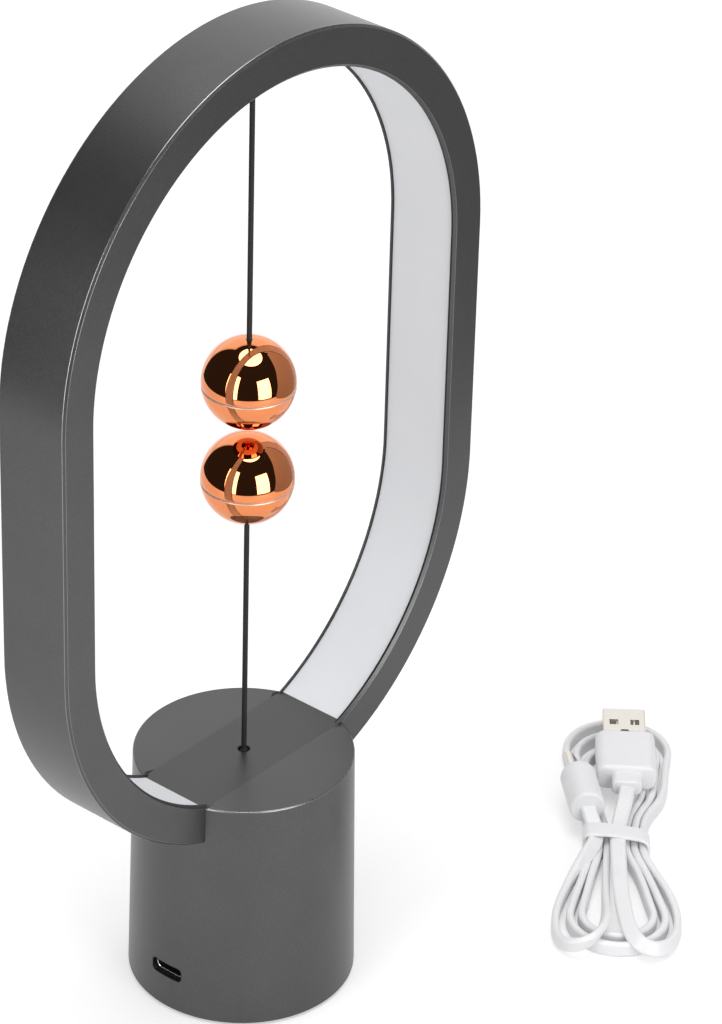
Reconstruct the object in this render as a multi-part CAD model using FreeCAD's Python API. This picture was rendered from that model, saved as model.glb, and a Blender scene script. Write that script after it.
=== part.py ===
import FreeCAD, Part

import math
import os

from FreeCAD import Placement, Rotation, Vector

# Magnetic balance lamp. Millimetres, +Z up, origin on the floor under the middle of the base.
# The ring stands in the plane y = 0, and the charging port faces -X.

# --- driving dimensions -------------------------------------------------------

base_height = 66.5
base_foot_radius = 29.8
base_top_radius = 28.5
base_foot_gap = 0.8          # the housing's lower edge stands this far off the floor
base_bore = 26.0             # inner radius of the drum
roof_thickness = 3.0
top_edge_bevel, foot_edge_bevel = 0.45, 0.3
plate_rebate = 1.2           # the drum's wall is this much thinner round the base plate

seat_gap = 0.05              # between pieces that stand still beside each other
thread_fit = 0.02            # between a screw and its threaded hole
screw_gap = 0.1              # between a screw and a hole that it only passes
weld = 0.5                   # how far solids reach into each other before they are fused

ring_outer_radius = 76.2
ring_thickness = 10.6        # radial
ring_depth = 21.2            # along Y
ring_lower_centre = 127.2    # height of the lower half circle's centre
ring_straight = 66.1         # straight flank between the two half circles
ring_edge_bevel = 0.65
ring_lip_bevel = 0.3
channel_floor = 1.8          # back wall of the U section
channel_wall = 0.8           # side wall beside the diffuser
channel_shoulder = 1.6       # side wall under the diffuser's seat
diffuser_thickness = 1.5
diffuser_recess = 0.35       # how far the lips stand proud of the diffuser

ball_radius = 11.8
ball_gap = 3.5
hollow_radius = 9.4          # inside of each shell
spigot_wall, spigot_length = 0.5, 1.0
lower_ball_height = 147.6
seam_drop = 0.8              # the shells part this far below the ball's equator
seam_groove = 0.25
magnet_radius = 5.5
magnet_thickness = 5.0
magnet_face = 8.4            # the magnet's outer face, from the ball's centre
stop_top, stop_length = 10.05, 2.55       # sleeve on the cord's end, from the ball's centre
cord_radius = 0.7
bead_radius = 1.0

strip_width, strip_thickness = 8.0, 0.3
strip_end_height = 57.5      # the light strip stops here, inside the drum
strip_gap = 0.01             # the strip's glue line
emitter_pitch = 11.5
emitter_size = (0.9, 3.5, 2.8)    # radial, along Y, along the loop

port_width, port_tall, port_corner = 10.3, 4.5, 1.4
bezel_wall = 0.25
receptacle_width, receptacle_tall, receptacle_length = 8.94, 3.26, 7.35
receptacle_wall = 0.3
receptacle_mouth = 28.0      # distance of the socket's mouth from the axis

plate_top = 3.0
pad_radius, pad_thickness, pad_edge = 26.4, 1.0, 0.4
weight_radius, weight_edge = 25.4, 0.6
weight_bottom, weight_top = 3.2, 25.8
weight_slot_end, weight_slot_half = 4.0, 12.2    # room for the control board
board_bottom, board_top = 9.0, 10.6
board_half_width, board_nose_half = 11.0, 5.4
screw_circle = 22.0
base_screw_radius = 1.5
base_screw_head, base_screw_head_height = 2.85, 1.4
base_screw_top = 31.5
lug_radius, lug_top = 3.4, 34.0
pocket_rib, pocket_foot = 1.6, 52.0       # ribs beside the ring's foot, inside the drum

saddle_floor, saddle_plate_top = 44.0, 47.5
saddle_half_x, saddle_half_y = 16.5, 19.6
lever_pivot_x, lever_pivot_z = 14.5, 35.6
pin_radius = 0.4
running_clearance = 0.03
crimp_clearance = 0.25       # room between the lever and the crimp that rests under it
bracket_screw_x, bracket_screw_y = (5.0, 14.0), 7.4
body_screw_x, body_screw_z = (4.9, 13.9), 40.6
button_x = 6.0
switch_low, switch_high = 36.6, 43.0

saddle_post = (12.0, 15.9)
saddle_screw_radius = 1.25
bracket_screw_radius = 1.0
board_screw_radius = 1.0
standoff_radius = 2.6
standoffs = ((-17.0, -8.4), (-17.0, 8.4), (-1.5, -8.4), (-1.5, 8.4))
ring_screw_angle, ring_screw_radius = 10.0, 1.25
cord_passage = 1.9           # radius of the holes that the lower cord and the strip's leads pass
lead_hole = (-9.0, 4.2)
lead_radius = 0.5
anchor_radius, anchor_flange, anchor_stub = 2.5, 2.9, 1.2
grommet_radius = 1.75
cap_end_gap = 0.36           # between the bridge cap's ends and the ring's inner face

tie_thickness = 0.9
cable_width, cable_thickness = 4.4, 2.1
hank_heading = 39.0          # degrees from +X, the direction in which the hank points
hank_middle = (103.0, -45.0)
hank_layer = 4.5             # height of the cable standing on its edge
upper_layer = 3.4            # thickness of the few turns that cross over it
top_lobe, bottom_lobe = (45.1, -2.2, 15.5), (-31.8, 0.1, 17.7)     # x, y and radius of the loops
bottom_corner = 10.0         # radius of the two corners where the bottom loop turns
inner_loop = (20.0, -0.6, 6.5)
bundle = (-9.0, 7.6)         # right and left sides of the strands under the tie
bundle_top = tie_thickness + cable_width + cable_thickness + 0.1
tie_half = 2.9
a_axis, a_end = (-4.0, 8.4), 19.7         # y and z of the USB-A plug, and where its neck ends
c_axis, c_end = (7.2, 9.5), 8.0
c_lean = 9.0                 # degrees by which the USB-C plug leans to the left
c_roll = 57.0                # degrees by which it is rolled about its own axis

ring_upper_centre = ring_lower_centre + ring_straight
ring_inner_radius = ring_outer_radius - ring_thickness
ring_foot_top = ring_lower_centre - ring_inner_radius
floor_radius = ring_outer_radius - channel_floor
upper_ball_height = lower_ball_height + 2 * ball_radius + ball_gap
port_height = board_top + receptacle_tall / 2
lower_pivot_height = base_height - 0.6
upper_pivot_height = ring_upper_centre + ring_inner_radius + diffuser_recess + 0.65

screw_offset = screw_circle * math.sqrt(0.5)
base_screw_places = [(sx * screw_offset, sy * screw_offset) for sx in (-1, 1) for sy in (-1, 1)]

X, Y, Z = Vector(1, 0, 0), Vector(0, 1, 0), Vector(0, 0, 1)
ORIGIN = Vector(0, 0, 0)
ALL = {}


# --- shared operations --------------------------------------------------------

def keep(name, shape):
    """File a finished piece under its node name."""
    ALL[name] = shape


def drum(radius, low, high, x=0.0, y=0.0):
    return Part.makeCylinder(radius, high - low, Vector(x, y, low))


def cone(low_radius, high_radius, low, high, x=0.0, y=0.0):
    return Part.makeCone(low_radius, high_radius, high - low, Vector(x, y, low))


def rod_y(radius, x, z, y0, y1):
    return Part.makeCylinder(radius, y1 - y0, Vector(x, y0, z), Y)


def block(x0, x1, y0, y1, z0, z1):
    return Part.makeBox(x1 - x0, y1 - y0, z1 - z0, Vector(x0, y0, z0))


def rounded_block(x0, x1, y0, y1, z0, z1, radius, along="Z"):
    """A box with its four edges along one axis rounded."""
    body = block(x0, x1, y0, y1, z0, z1)
    axis = {"X": X, "Y": Y, "Z": Z}[along]
    edges = [e for e in body.Edges if e.tangentAt(e.FirstParameter).cross(axis).Length < 1e-6]
    return body.makeFillet(radius, edges)


def turned(profile):
    """Revolve a closed (radius, height) outline about the Z axis."""
    points = [Vector(r, 0, z) for r, z in profile]
    return Part.Face(Part.makePolygon(points + points[:1])).revolve(ORIGIN, Z, 360)


def moved(shape, place):
    copy = shape.copy()
    copy.Placement = place.multiply(copy.Placement)
    return copy


def union(pieces):
    first, rest = pieces[0], pieces[1:]
    return first.fuse(rest).removeSplitter() if rest else first


def at_corners(x, y):
    return [(sx * x, sy * y) for sx in (-1, 1) for sy in (-1, 1)]


def around_loop(section):
    """Carry a section, drawn in the plane z = 0 with x as its radius, round the ring's whole loop."""
    low, high = Vector(0, 0, ring_lower_centre), Vector(0, 0, ring_upper_centre)
    at_low, at_high = section.translated(low), section.translated(high)
    flank = at_low.extrude(Vector(0, 0, ring_straight))
    crown = at_high.revolve(high, -Y, 180)
    foot = at_low.revolve(low, Y, 180)
    return union([flank, crown, flank.mirror(ORIGIN, X), foot])


def section_face(points):
    corners = [Vector(r, y, 0) for r, y in points]
    return Part.Face(Part.makePolygon(corners + corners[:1]))


def loop_place(distance):
    """Place of a point of the ring's right half, from its lowest point up; local +X points outwards."""
    quarter = floor_radius * math.pi / 2
    if distance < quarter:
        centre, angle = ring_lower_centre, 90 - math.degrees(distance / floor_radius)
    elif distance < quarter + ring_straight:
        return Placement(Vector(floor_radius, 0, ring_lower_centre + distance - quarter), Rotation())
    else:
        centre = ring_upper_centre
        angle = -math.degrees((distance - quarter - ring_straight) / floor_radius)
    turn = Rotation(Y, angle)
    return Placement(Vector(0, 0, centre) + turn.multVec(Vector(floor_radius, 0, 0)), turn)


def wire_tube(points, radius, bend):
    """A round wire of straight runs joined by bends of one radius."""
    points = [Vector(*p) for p in points]
    runs, start = [], points[0]
    for before, corner, after in zip(points, points[1:], points[2:]):
        back, on = (before - corner).normalize(), (after - corner).normalize()
        half = back.getAngle(on) / 2
        entry = corner + back * (bend / math.tan(half))
        centre = corner + (back + on).normalize() * (bend / math.sin(half))
        runs.append(Part.makeCylinder(radius, (entry - start).Length, start, -back))
        disc = Part.Face(Part.Wire(Part.Circle(entry, -back, radius).toShape()))
        runs.append(disc.revolve(centre, on.cross(back), 180 - math.degrees(2 * half)))
        start = corner + on * (bend / math.tan(half))
    runs.append(Part.makeCylinder(radius, (points[-1] - start).Length, start, points[-1] - start))
    return union(runs)


# --- base ---------------------------------------------------------------------

def wall_radius(height):
    """Outer radius of the tapered drum at a height."""
    return base_foot_radius + (base_top_radius - base_foot_radius) * height / base_height


def drum_profile():
    foot, shoulder = base_foot_gap, base_height - top_edge_bevel
    return [(0, foot), (wall_radius(foot) - foot_edge_bevel, foot),
            (wall_radius(foot), foot + foot_edge_bevel), (wall_radius(shoulder), shoulder),
            (wall_radius(base_height) - top_edge_bevel, base_height), (0, base_height)]


def ring_passage(clearance=seat_gap):
    """The room that the ring's foot takes out of the drum, open at the top."""
    reach, half = ring_outer_radius + clearance, ring_depth / 2 + clearance
    rod = rod_y(reach, 0, ring_lower_centre, -half, half)
    return rod.makeChamfer(ring_edge_bevel, [e for e in rod.Edges if len(e.Vertexes) == 1])


def slot_bar(width, tall, x0, x1, corner=None):
    """A bar along X at the port's height; its ends are fully round unless a corner radius is given."""
    low, high = port_height - tall / 2, port_height + tall / 2
    return rounded_block(x0, x1, -width / 2, width / 2, low, high, corner or tall / 2 - 0.01, "X")


def base_housing():
    envelope = turned(drum_profile())
    roof = base_height - roof_thickness
    room = drum(base_bore, plate_top, roof).fuse(drum(base_bore + plate_rebate, 0, plate_top))
    shell = envelope.cut(room)

    inside = drum(base_bore + weld, plate_top, roof + weld)
    pocket_wall = ring_depth / 2 + seat_gap
    additions = []
    for side in (-1, 1):
        near, far = sorted((side * pocket_wall, side * (pocket_wall + pocket_rib)))
        additions.append(block(-base_bore, base_bore, near, far, pocket_foot, roof + weld).common(inside))
    lug_foot = weight_top + 2 * screw_gap
    lug = drum(lug_radius, lug_foot, lug_top, screw_circle)
    lug = lug.fuse(block(screw_circle, base_bore + 2, -lug_radius, lug_radius, lug_foot, lug_top))
    for angle in (45, 135, 225, 315):
        additions.append(lug.rotated(ORIGIN, Z, angle).common(inside))
    shell = union([shell] + additions)

    port = slot_bar(port_width, port_tall, -base_foot_radius - 1, -base_bore + 2, port_corner)
    cuts = [ring_passage(), port]
    for x, y in base_screw_places:
        cuts.append(drum(base_screw_radius + thread_fit, weight_top, base_screw_top + 1.0, x, y))
    for x, y in at_corners(*saddle_post):
        cuts.append(drum(saddle_screw_radius + thread_fit, roof - 1, base_height - 0.9, x, y))
    return shell.cut(cuts)


def port_bezel():
    """Black lining of the port's opening, trimmed to the drum's outside and closed round the socket."""
    fit, wall = 0.04, 2 * bezel_wall
    sleeve = slot_bar(port_width - fit, port_tall - fit, -base_foot_radius - 1, -base_bore - 0.1, port_corner)
    recess = slot_bar(port_width - wall, port_tall - wall, -40, 0.1 - receptacle_mouth,
                      port_corner - bezel_wall)
    opening = slot_bar(receptacle_width + 2 * seat_gap, receptacle_tall + 2 * seat_gap, -40, -20)
    inside = turned(drum_profile()).cut(drum(base_bore + 0.1, 0, base_height))
    return sleeve.cut([recess, opening]).common(inside)


def foot_pad():
    return turned([(0, 0), (pad_radius - pad_edge, 0), (pad_radius, pad_edge),
                   (pad_radius, pad_thickness), (0, pad_thickness)])


def base_plate():
    plate = drum(base_bore + plate_rebate - 2 * seat_gap, pad_thickness, plate_top)
    posts = [drum(standoff_radius, plate_top - weld, board_bottom, x, y) for x, y in standoffs]
    plate = union([plate] + posts)
    cuts = []
    for x, y in base_screw_places:
        cuts.append(drum(base_screw_radius + screw_gap, 0, plate_top + 1, x, y))
        cuts.append(cone(base_screw_head + screw_gap, base_screw_radius, pad_thickness,
                         pad_thickness + base_screw_head_height + screw_gap, x, y))
    for x, y in standoffs:
        cuts.append(drum(board_screw_radius + thread_fit, 4.0, board_bottom + 1, x, y))
    return plate.cut(cuts)


def base_screws():
    screws = []
    face = pad_thickness + seat_gap
    for x, y in base_screw_places:
        head = cone(base_screw_head, base_screw_radius, face, face + base_screw_head_height, x, y)
        shank = drum(base_screw_radius, face, base_screw_top, x, y)
        slot = block(x - 3, x + 3, y - 0.35, y + 0.35, 0, face + 0.65)
        screws.append(head.fuse(shank).removeSplitter().cut(slot))
    return Part.makeCompound(screws)


def counterweight():
    """Turned steel weight with a slot that leaves the control board free."""
    edge = weight_edge
    body = turned([(0, weight_bottom), (weight_radius - edge, weight_bottom),
                   (weight_radius, weight_bottom + edge), (weight_radius, weight_top - edge),
                   (weight_radius - edge, weight_top), (0, weight_top)])
    cuts = [rounded_block(-40, weight_slot_end, -weight_slot_half, weight_slot_half, 0, 40, 3.0)]
    for x, y in base_screw_places:
        cuts.append(drum(base_screw_radius + 2 * screw_gap, 0, 40, x, y))
    return body.cut(cuts)


# --- ring ---------------------------------------------------------------------

def ring_frame():
    outer, half = ring_outer_radius, ring_depth / 2
    lip, seat = ring_inner_radius, ring_inner_radius + diffuser_recess + diffuser_thickness
    wall, shoulder = half - channel_wall, half - channel_shoulder
    upper_side = [(outer, half - ring_edge_bevel), (outer - ring_edge_bevel, half),
                  (lip + ring_lip_bevel, half), (lip, half - ring_lip_bevel), (lip, wall), (seat, wall),
                  (seat, shoulder), (floor_radius, shoulder)]
    lower_side = [(r, -y) for r, y in reversed(upper_side)]
    frame = around_loop(section_face(upper_side + lower_side))
    cuts = [drum(cord_passage, 45, 56), drum(cord_passage, 45, 57, *lead_hole)]
    cuts += ring_screw_bodies(ring_screw_radius + seat_gap)
    crown = ring_upper_centre + outer
    cuts.append(drum(anchor_stub + seat_gap, crown - channel_floor - 1, crown - 0.6))
    return frame.cut(cuts)


def ring_screw_bodies(radius):
    """Plain shanks through the ring's floor and into the saddle, square to the ring."""
    shank = drum(radius, ring_lower_centre - ring_outer_radius - 4.5, ring_lower_centre - floor_radius + 0.3)
    pivot = Vector(0, 0, ring_lower_centre)
    return [shank.rotated(pivot, Y, side * ring_screw_angle) for side in (-1, 1)]


def ring_screws():
    screws = []
    floor = ring_lower_centre - floor_radius
    pivot = Vector(0, 0, ring_lower_centre)
    for side, shank in zip((-1, 1), ring_screw_bodies(ring_screw_radius)):
        slot = block(-0.25, 0.25, -2, 2, floor + 0.9, floor + 3)
        head = cone(2.3, 1.5, floor + 0.06, floor + 1.6).cut(slot)
        stub = drum(ring_screw_radius, floor - 0.1, floor + weld)
        top = head.fuse(stub).rotated(pivot, Y, side * ring_screw_angle)
        screws.append(top.fuse(shank).removeSplitter())
    return Part.makeCompound(screws)


def ring_diffuser():
    """Opal cover that fills the channel's mouth down to the top of the base."""
    inner = ring_inner_radius + diffuser_recess
    outer, half = inner + diffuser_thickness, ring_depth / 2 - channel_wall - seat_gap
    cover = around_loop(section_face([(inner, -half), (outer, -half), (outer, half), (inner, half)]))
    base_zone = block(-40, 40, -20, 20, 40, base_height + seat_gap)
    return cover.cut([base_zone, drum(anchor_radius + seat_gap, ring_upper_centre, 270)])


def led_strip():
    half, face, back = strip_width / 2, floor_radius - strip_thickness, floor_radius - strip_gap
    strip = around_loop(section_face([(face, -half), (back, -half), (back, half), (face, half)]))
    return strip.cut([block(-60, 60, -20, 20, 40, strip_end_height), drum(3.2, ring_upper_centre, 270)])


def led_emitters():
    """One small light emitter every pitch along both halves of the strip."""
    deep, wide, long = emitter_size
    foot = -strip_thickness - 3 * strip_gap
    chip = block(foot - deep, foot, -wide / 2, wide / 2, -long / 2, long / 2)
    whole = floor_radius * math.pi + ring_straight
    start = floor_radius * math.acos((ring_lower_centre - strip_end_height) / floor_radius) + 3.0
    count = int((whole - start - 5.0) / emitter_pitch) + 1
    chips = []
    for index in range(count):
        placed = moved(chip, loop_place(start + index * emitter_pitch))
        chips += [placed, placed.mirror(ORIGIN, X)]
    return Part.makeCompound(chips)


def top_anchor():
    """Turned bush in the crown of the ring that holds the upper cord."""
    top = ring_upper_centre + floor_radius - 0.08
    mouth = ring_upper_centre + ring_inner_radius + diffuser_recess
    shoulder, pin = top - 1.2, top + 1.1
    body = turned([(0, mouth), (anchor_radius, mouth), (anchor_radius, shoulder), (anchor_flange, shoulder),
                   (anchor_flange, top), (anchor_stub, top), (anchor_stub, pin), (0, pin)])
    bore_radius, throat_radius = bead_radius + 0.1, 1.95
    bore = drum(bore_radius, upper_pivot_height, upper_pivot_height + 1.4)
    throat = cone(throat_radius, bore_radius, mouth, upper_pivot_height)
    return body.cut([bore, throat])


def bridge_cap():
    """Cover over the ring's foot, flush with the top of the base."""
    half = ring_depth / 2 - 2 * seat_gap
    half_length = math.sqrt(ring_inner_radius ** 2 - (ring_lower_centre - base_height) ** 2) - cap_end_gap
    rib_half, rib_length, rib_wall, rib_depth = 8.2, 20.0, 1.8, 4.0
    boss_radius = 3.2
    above = rod_y(ring_inner_radius, 0, ring_lower_centre, -half, half)
    strip = block(-half_length, half_length, -half, half, ring_foot_top - 5, base_height).common(above)
    rib_reach = rod_y(ring_inner_radius + rib_depth, 0, ring_lower_centre, -rib_half, rib_half)
    rib = block(-rib_length, rib_length, -rib_half, rib_half, 50, base_height - 1).common(rib_reach)
    room_half = rib_half - rib_wall
    rib = rib.cut(block(-17.5, 17.5, -room_half, room_half, 40, ring_foot_top - 0.3))
    boss = drum(boss_radius, ring_foot_top - 2.9, ring_foot_top + 0.1)
    hole = drum(grommet_radius + thread_fit, 50, 70)
    return union([strip, rib, boss]).cut(hole)


def cord_grommet():
    low, top = ring_foot_top - 2.7, base_height + 0.05
    body = turned([(0, low), (grommet_radius, low), (grommet_radius, top - 0.1),
                   (grommet_radius - 0.1, top), (0, top)])
    bore = bead_radius + 0.2
    return body.cut([drum(bore, low - 1, top + 1), cone(bore, bore + 0.3, top - 1.5, top)])


def ring_saddle():
    """Cradle that hangs under the roof and carries the ring's foot."""
    reach_x, reach_y = saddle_half_x, saddle_half_y
    plate = rounded_block(-reach_x, reach_x, -reach_y, reach_y, saddle_floor, saddle_plate_top, 4.0)
    cradle = block(1 - reach_x, reach_x - 1, -10.3, 10.3, saddle_floor, 56)
    cradle = cradle.cut(rod_y(ring_outer_radius + 0.01, 0, ring_lower_centre, -12, 12))
    under_roof, post_radius = base_height - roof_thickness - 0.02, 3.2
    posts = [drum(post_radius, saddle_floor, under_roof, x, y) for x, y in at_corners(*saddle_post)]
    cuts = [drum(cord_passage + weld, 40, 60), drum(cord_passage, 40, 60, *lead_hole)]
    cuts += ring_screw_bodies(ring_screw_radius + thread_fit)
    cuts += [drum(saddle_screw_radius + screw_gap, 40, 70, x, y) for x, y in at_corners(*saddle_post)]
    cuts += [drum(bracket_screw_radius + thread_fit, 43, 46.5, x, bracket_screw_y) for x in bracket_screw_x]
    return union([plate, cradle] + posts).cut(cuts)


def pan_screw(radius, head_radius, head, underside, length):
    """A pan-head screw that points up, its head under the named face."""
    shank = drum(radius, underside, underside + length)
    return shank.fuse(cone(head_radius * 0.85, head_radius, underside - head, underside))


def saddle_screws():
    screw = pan_screw(saddle_screw_radius, 2.2, 1.6, saddle_floor, base_height - 1.2 - saddle_floor)
    return Part.makeCompound([screw.translated(Vector(x, y, 0)) for x, y in at_corners(*saddle_post)])


# --- pull switch --------------------------------------------------------------

def switch_bracket():
    shelf = rounded_block(2.2, 16.6, -3.4, 9.6, switch_high, saddle_floor, 1.0)
    flange = block(2.2, 16.6, 3.0, 4.0, switch_low + 0.4, switch_high)
    cuts = [drum(bracket_screw_radius + screw_gap, 40, 50, x, bracket_screw_y) for x in bracket_screw_x]
    cuts += [rod_y(0.85, x, body_screw_z, 0, 6) for x in body_screw_x]
    return union([shelf, flange]).cut(cuts)


def bracket_screws():
    up = pan_screw(bracket_screw_radius, 1.9, 1.3, switch_high, 3.4)
    screws = [up.translated(Vector(x, bracket_screw_y, 0)) for x in bracket_screw_x]
    for x in body_screw_x:
        shank = rod_y(0.8, x, body_screw_z, -2.9, 4.0)
        head, nut = rod_y(1.5, x, body_screw_z, -3.9, -2.9), rod_y(1.5, x, body_screw_z, 4.0, 5.2)
        screws.append(union([shank, head, nut]))
    return Part.makeCompound(screws)


def switch_body():
    body = rounded_block(2.8, 15.9, -2.9, 2.98, switch_low, switch_high - 0.02, 0.6, "Y")
    left, right = lever_pivot_x - 1.2, lever_pivot_x + 1.2
    ears = [block(left, right, y, y + 0.7, lever_pivot_z - 1.1, switch_low + 0.5) for y in (-2.9, 2.2)]
    cuts = [rod_y(0.82, x, body_screw_z, -5, 5) for x in body_screw_x]
    cuts.append(rod_y(pin_radius, lever_pivot_x, lever_pivot_z, -5, 5))
    cuts.append(drum(0.78, switch_low - 1, 39.4, button_x))
    return union([body] + ears).cut(cuts)


def switch_pin():
    return rod_y(pin_radius, lever_pivot_x, lever_pivot_z, -3.1, 3.1)


def switch_lever():
    """Sheet lever rolled round the pin, with a hole at its tip for the cord."""
    low, high = lever_pivot_z - 0.35, lever_pivot_z + 0.05
    blade = rounded_block(-2.4, lever_pivot_x, -1.6, 1.6, low, high, 1.2)
    knuckle = rod_y(0.8, lever_pivot_x, lever_pivot_z, -1.9, 1.9)
    cuts = [rod_y(pin_radius + running_clearance, lever_pivot_x, lever_pivot_z, -4, 4),
            drum(cord_radius + 0.35, 30, 40)]
    return union([blade, knuckle]).cut(cuts)


def switch_button():
    """Domed plunger that the lever pushes up into the switch."""
    radius, tip = 0.72, lever_pivot_z + 0.15
    stem = drum(radius, tip + 0.35, 38.2, button_x)
    return union([stem, cone(0.3, radius, tip, tip + 0.35, button_x)])


def wires():
    """Insulated leads: two from the light strip, two from the switch, down to the control board."""
    board, over_weight = board_top + 0.02, 29.0
    on_strip = floor_radius - strip_thickness - lead_radius - 0.02
    joint_x, bend_height = 26.2, ring_lower_centre - floor_radius + 1.1
    joint_height = ring_lower_centre - math.sqrt(on_strip ** 2 - joint_x ** 2)
    strip_leads, switch_leads = [], []
    hole_x, hole_y = lead_hole
    for side in (-1, 1):
        y = hole_y + 0.75 * side
        route = [(-joint_x, y, joint_height), (hole_x, y, bend_height), (hole_x, y, board)]
        strip_leads.append(wire_tube(route, lead_radius, 2.2))
        y = 2.4 * side
        route = [(10.5, y, switch_low - 0.02), (10.5, y, over_weight),
                 (-0.8, y, over_weight), (-0.8, y, board)]
        switch_leads.append(wire_tube(route, lead_radius, 1.5))
    return Part.makeCompound(strip_leads), Part.makeCompound(switch_leads)


# --- control board ------------------------------------------------------------

def control_board():
    main = block(-22.6, 2.4, -board_half_width, board_half_width, board_bottom, board_top)
    nose = block(-25.2, -20, -board_nose_half, board_nose_half, board_bottom, board_top)
    board = union([main, nose])
    cuts = [drum(board_screw_radius + screw_gap, 0, 20, x, y) for x, y in standoffs]
    return board.cut(cuts)


def board_screws():
    screws = []
    for x, y in standoffs:
        shank = drum(board_screw_radius, 4.6, board_top, x, y)
        screws.append(shank.fuse(cone(1.8, 1.5, board_top, board_top + 1.2, x, y)))
    return Part.makeCompound(screws)


def board_components():
    """Driver chip, coil, two capacitors and small chips on the board."""
    seat = board_top + 0.02
    chip = block(-14.4, -10.0, 2.2, 6.6, seat, seat + 1.1)
    coil = union([block(-13.6, -7.6, -8.6, -2.6, seat, seat + 1.0),
                  drum(2.8, seat + 1.0, seat + 2.6, -10.6, -5.6),
                  block(-13.6, -7.6, -8.6, -2.6, seat + 2.6, seat + 3.4)])
    cans = [drum(1.9, seat, seat + 4.6, -4.2, y) for y in (-4.4, 4.4)]
    small = block(-18.6, -17.0, -0.4, 0.4, seat, seat + 0.6)
    smalls = [small.translated(Vector(x, y, 0)) for x in (0.0, 2.4) for y in (-5.2, 5.2)]
    return Part.makeCompound([chip, coil] + cans + smalls)


def usb_c_receptacle():
    x0 = -receptacle_mouth
    outer = slot_bar(receptacle_width, receptacle_tall, x0, x0 + receptacle_length)
    width, tall = receptacle_width - 2 * receptacle_wall, receptacle_tall - 2 * receptacle_wall
    return outer.cut(slot_bar(width, tall, x0 - 1, x0 + receptacle_length - 1.0))


def usb_c_tongue():
    x0, x1 = -receptacle_mouth + 1.6, -receptacle_mouth + receptacle_length - 1.0
    blade = rounded_block(x0, x1, -3.35, 3.35, port_height - 0.35, port_height + 0.35, 0.3, "X")
    width, tall = receptacle_width - 2 * receptacle_wall - 0.04, receptacle_tall - 2 * receptacle_wall - 0.04
    return union([blade, slot_bar(width, tall, x1 - 1.4, x1)])


# --- balls, cords and magnets -------------------------------------------------

def half_ball(seam):
    """Solid part of the sphere above a height, its rim stepped back for half of the seam's groove."""
    blank = Part.makeSphere(ball_radius, ORIGIN, Z, math.degrees(math.asin(seam / ball_radius)), 90, 360)
    bottom, rim = seam - 1, ball_radius - seam_groove
    step = [(rim, bottom), (ball_radius + 1, bottom), (ball_radius + 1, seam + seam_groove / 2),
            (rim, seam + seam_groove / 2)]
    return blank.cut(turned(step))


def magnet_half(seam):
    """Half with the magnet's pocket at its pole, +Z here, and a spigot at its rim."""
    bore, ledge = magnet_radius + 0.05, magnet_face - magnet_thickness
    inside = turned([(0, seam - 1), (hollow_radius, seam - 1), (hollow_radius, ledge), (bore, ledge),
                     (bore, magnet_face), (0, magnet_face)])
    spigot = drum(hollow_radius + spigot_wall, seam - spigot_length, seam + 1)
    return union([half_ball(seam), spigot]).cut(inside)


def cord_half(seam):
    """Half with the cord's hole at its pole, +Z here, and a rebate that takes the spigot."""
    rebate, shelf = hollow_radius + spigot_wall + 0.03, seam + spigot_length + 0.03
    step, well_foot = 4.0, 7.4
    inside = turned([(0, seam - 1), (rebate, seam - 1), (rebate, shelf), (hollow_radius, shelf),
                     (hollow_radius, step), (6.8, step), (6.8, well_foot), (1.45, well_foot),
                     (1.45, stop_top + 0.05), (cord_radius + 0.1, stop_top + 0.05),
                     (cord_radius + 0.1, ball_radius + 1), (0, ball_radius + 1)])
    return half_ball(seam).cut(inside)


def ball_shells(height, cord_up):
    """The upper and lower shells of a ball whose seam lies a little below its middle."""
    turn = Rotation(X, 180)
    place, turned_over = Placement(Vector(0, 0, height), Rotation()), Placement(Vector(0, 0, height), turn)
    if cord_up:
        return moved(cord_half(-seam_drop), place), moved(magnet_half(seam_drop), turned_over)
    return moved(magnet_half(-seam_drop), place), moved(cord_half(seam_drop), turned_over)


def magnet(height, pole):
    low, high = sorted((pole * (magnet_face - 0.02), pole * (magnet_face - 0.02 - magnet_thickness)))
    edge = 0.4
    body = turned([(0, low), (magnet_radius - edge, low), (magnet_radius, low + edge),
                   (magnet_radius, high - edge), (magnet_radius - edge, high), (0, high)])
    return body.translated(Vector(0, 0, height))


def cord_stop(height, side):
    """Crimped sleeve that holds the cord's end inside the ball."""
    low, high = sorted((side * stop_top, side * (stop_top - stop_length)))
    sleeve = [(cord_radius, low), (1.4, low), (1.4, high), (cord_radius, high)]
    return turned(sleeve).translated(Vector(0, 0, height))


def swivel_bead(height):
    return Part.makeSphere(bead_radius, Vector(0, 0, height))


def pendulum_cord(pivot, end):
    """Straight cord from its bead to the stop in the ball, hollowed to sit on the bead."""
    low, high = sorted((pivot, end))
    return drum(cord_radius, low, high).cut(Part.makeSphere(bead_radius + 0.05, Vector(0, 0, pivot)))


# --- charging cable, drawn lying along +X and then placed ----------------------

def tangent_from(centre, radius, point, side):
    """Point where the line from an outside point touches a circle, on its left or right side."""
    way = centre - point
    swing = math.asin(radius / way.Length) * side
    reach = math.sqrt(way.Length ** 2 - radius ** 2)
    return point + Rotation(Z, math.degrees(swing)).multVec(way.normalize()) * reach


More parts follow.
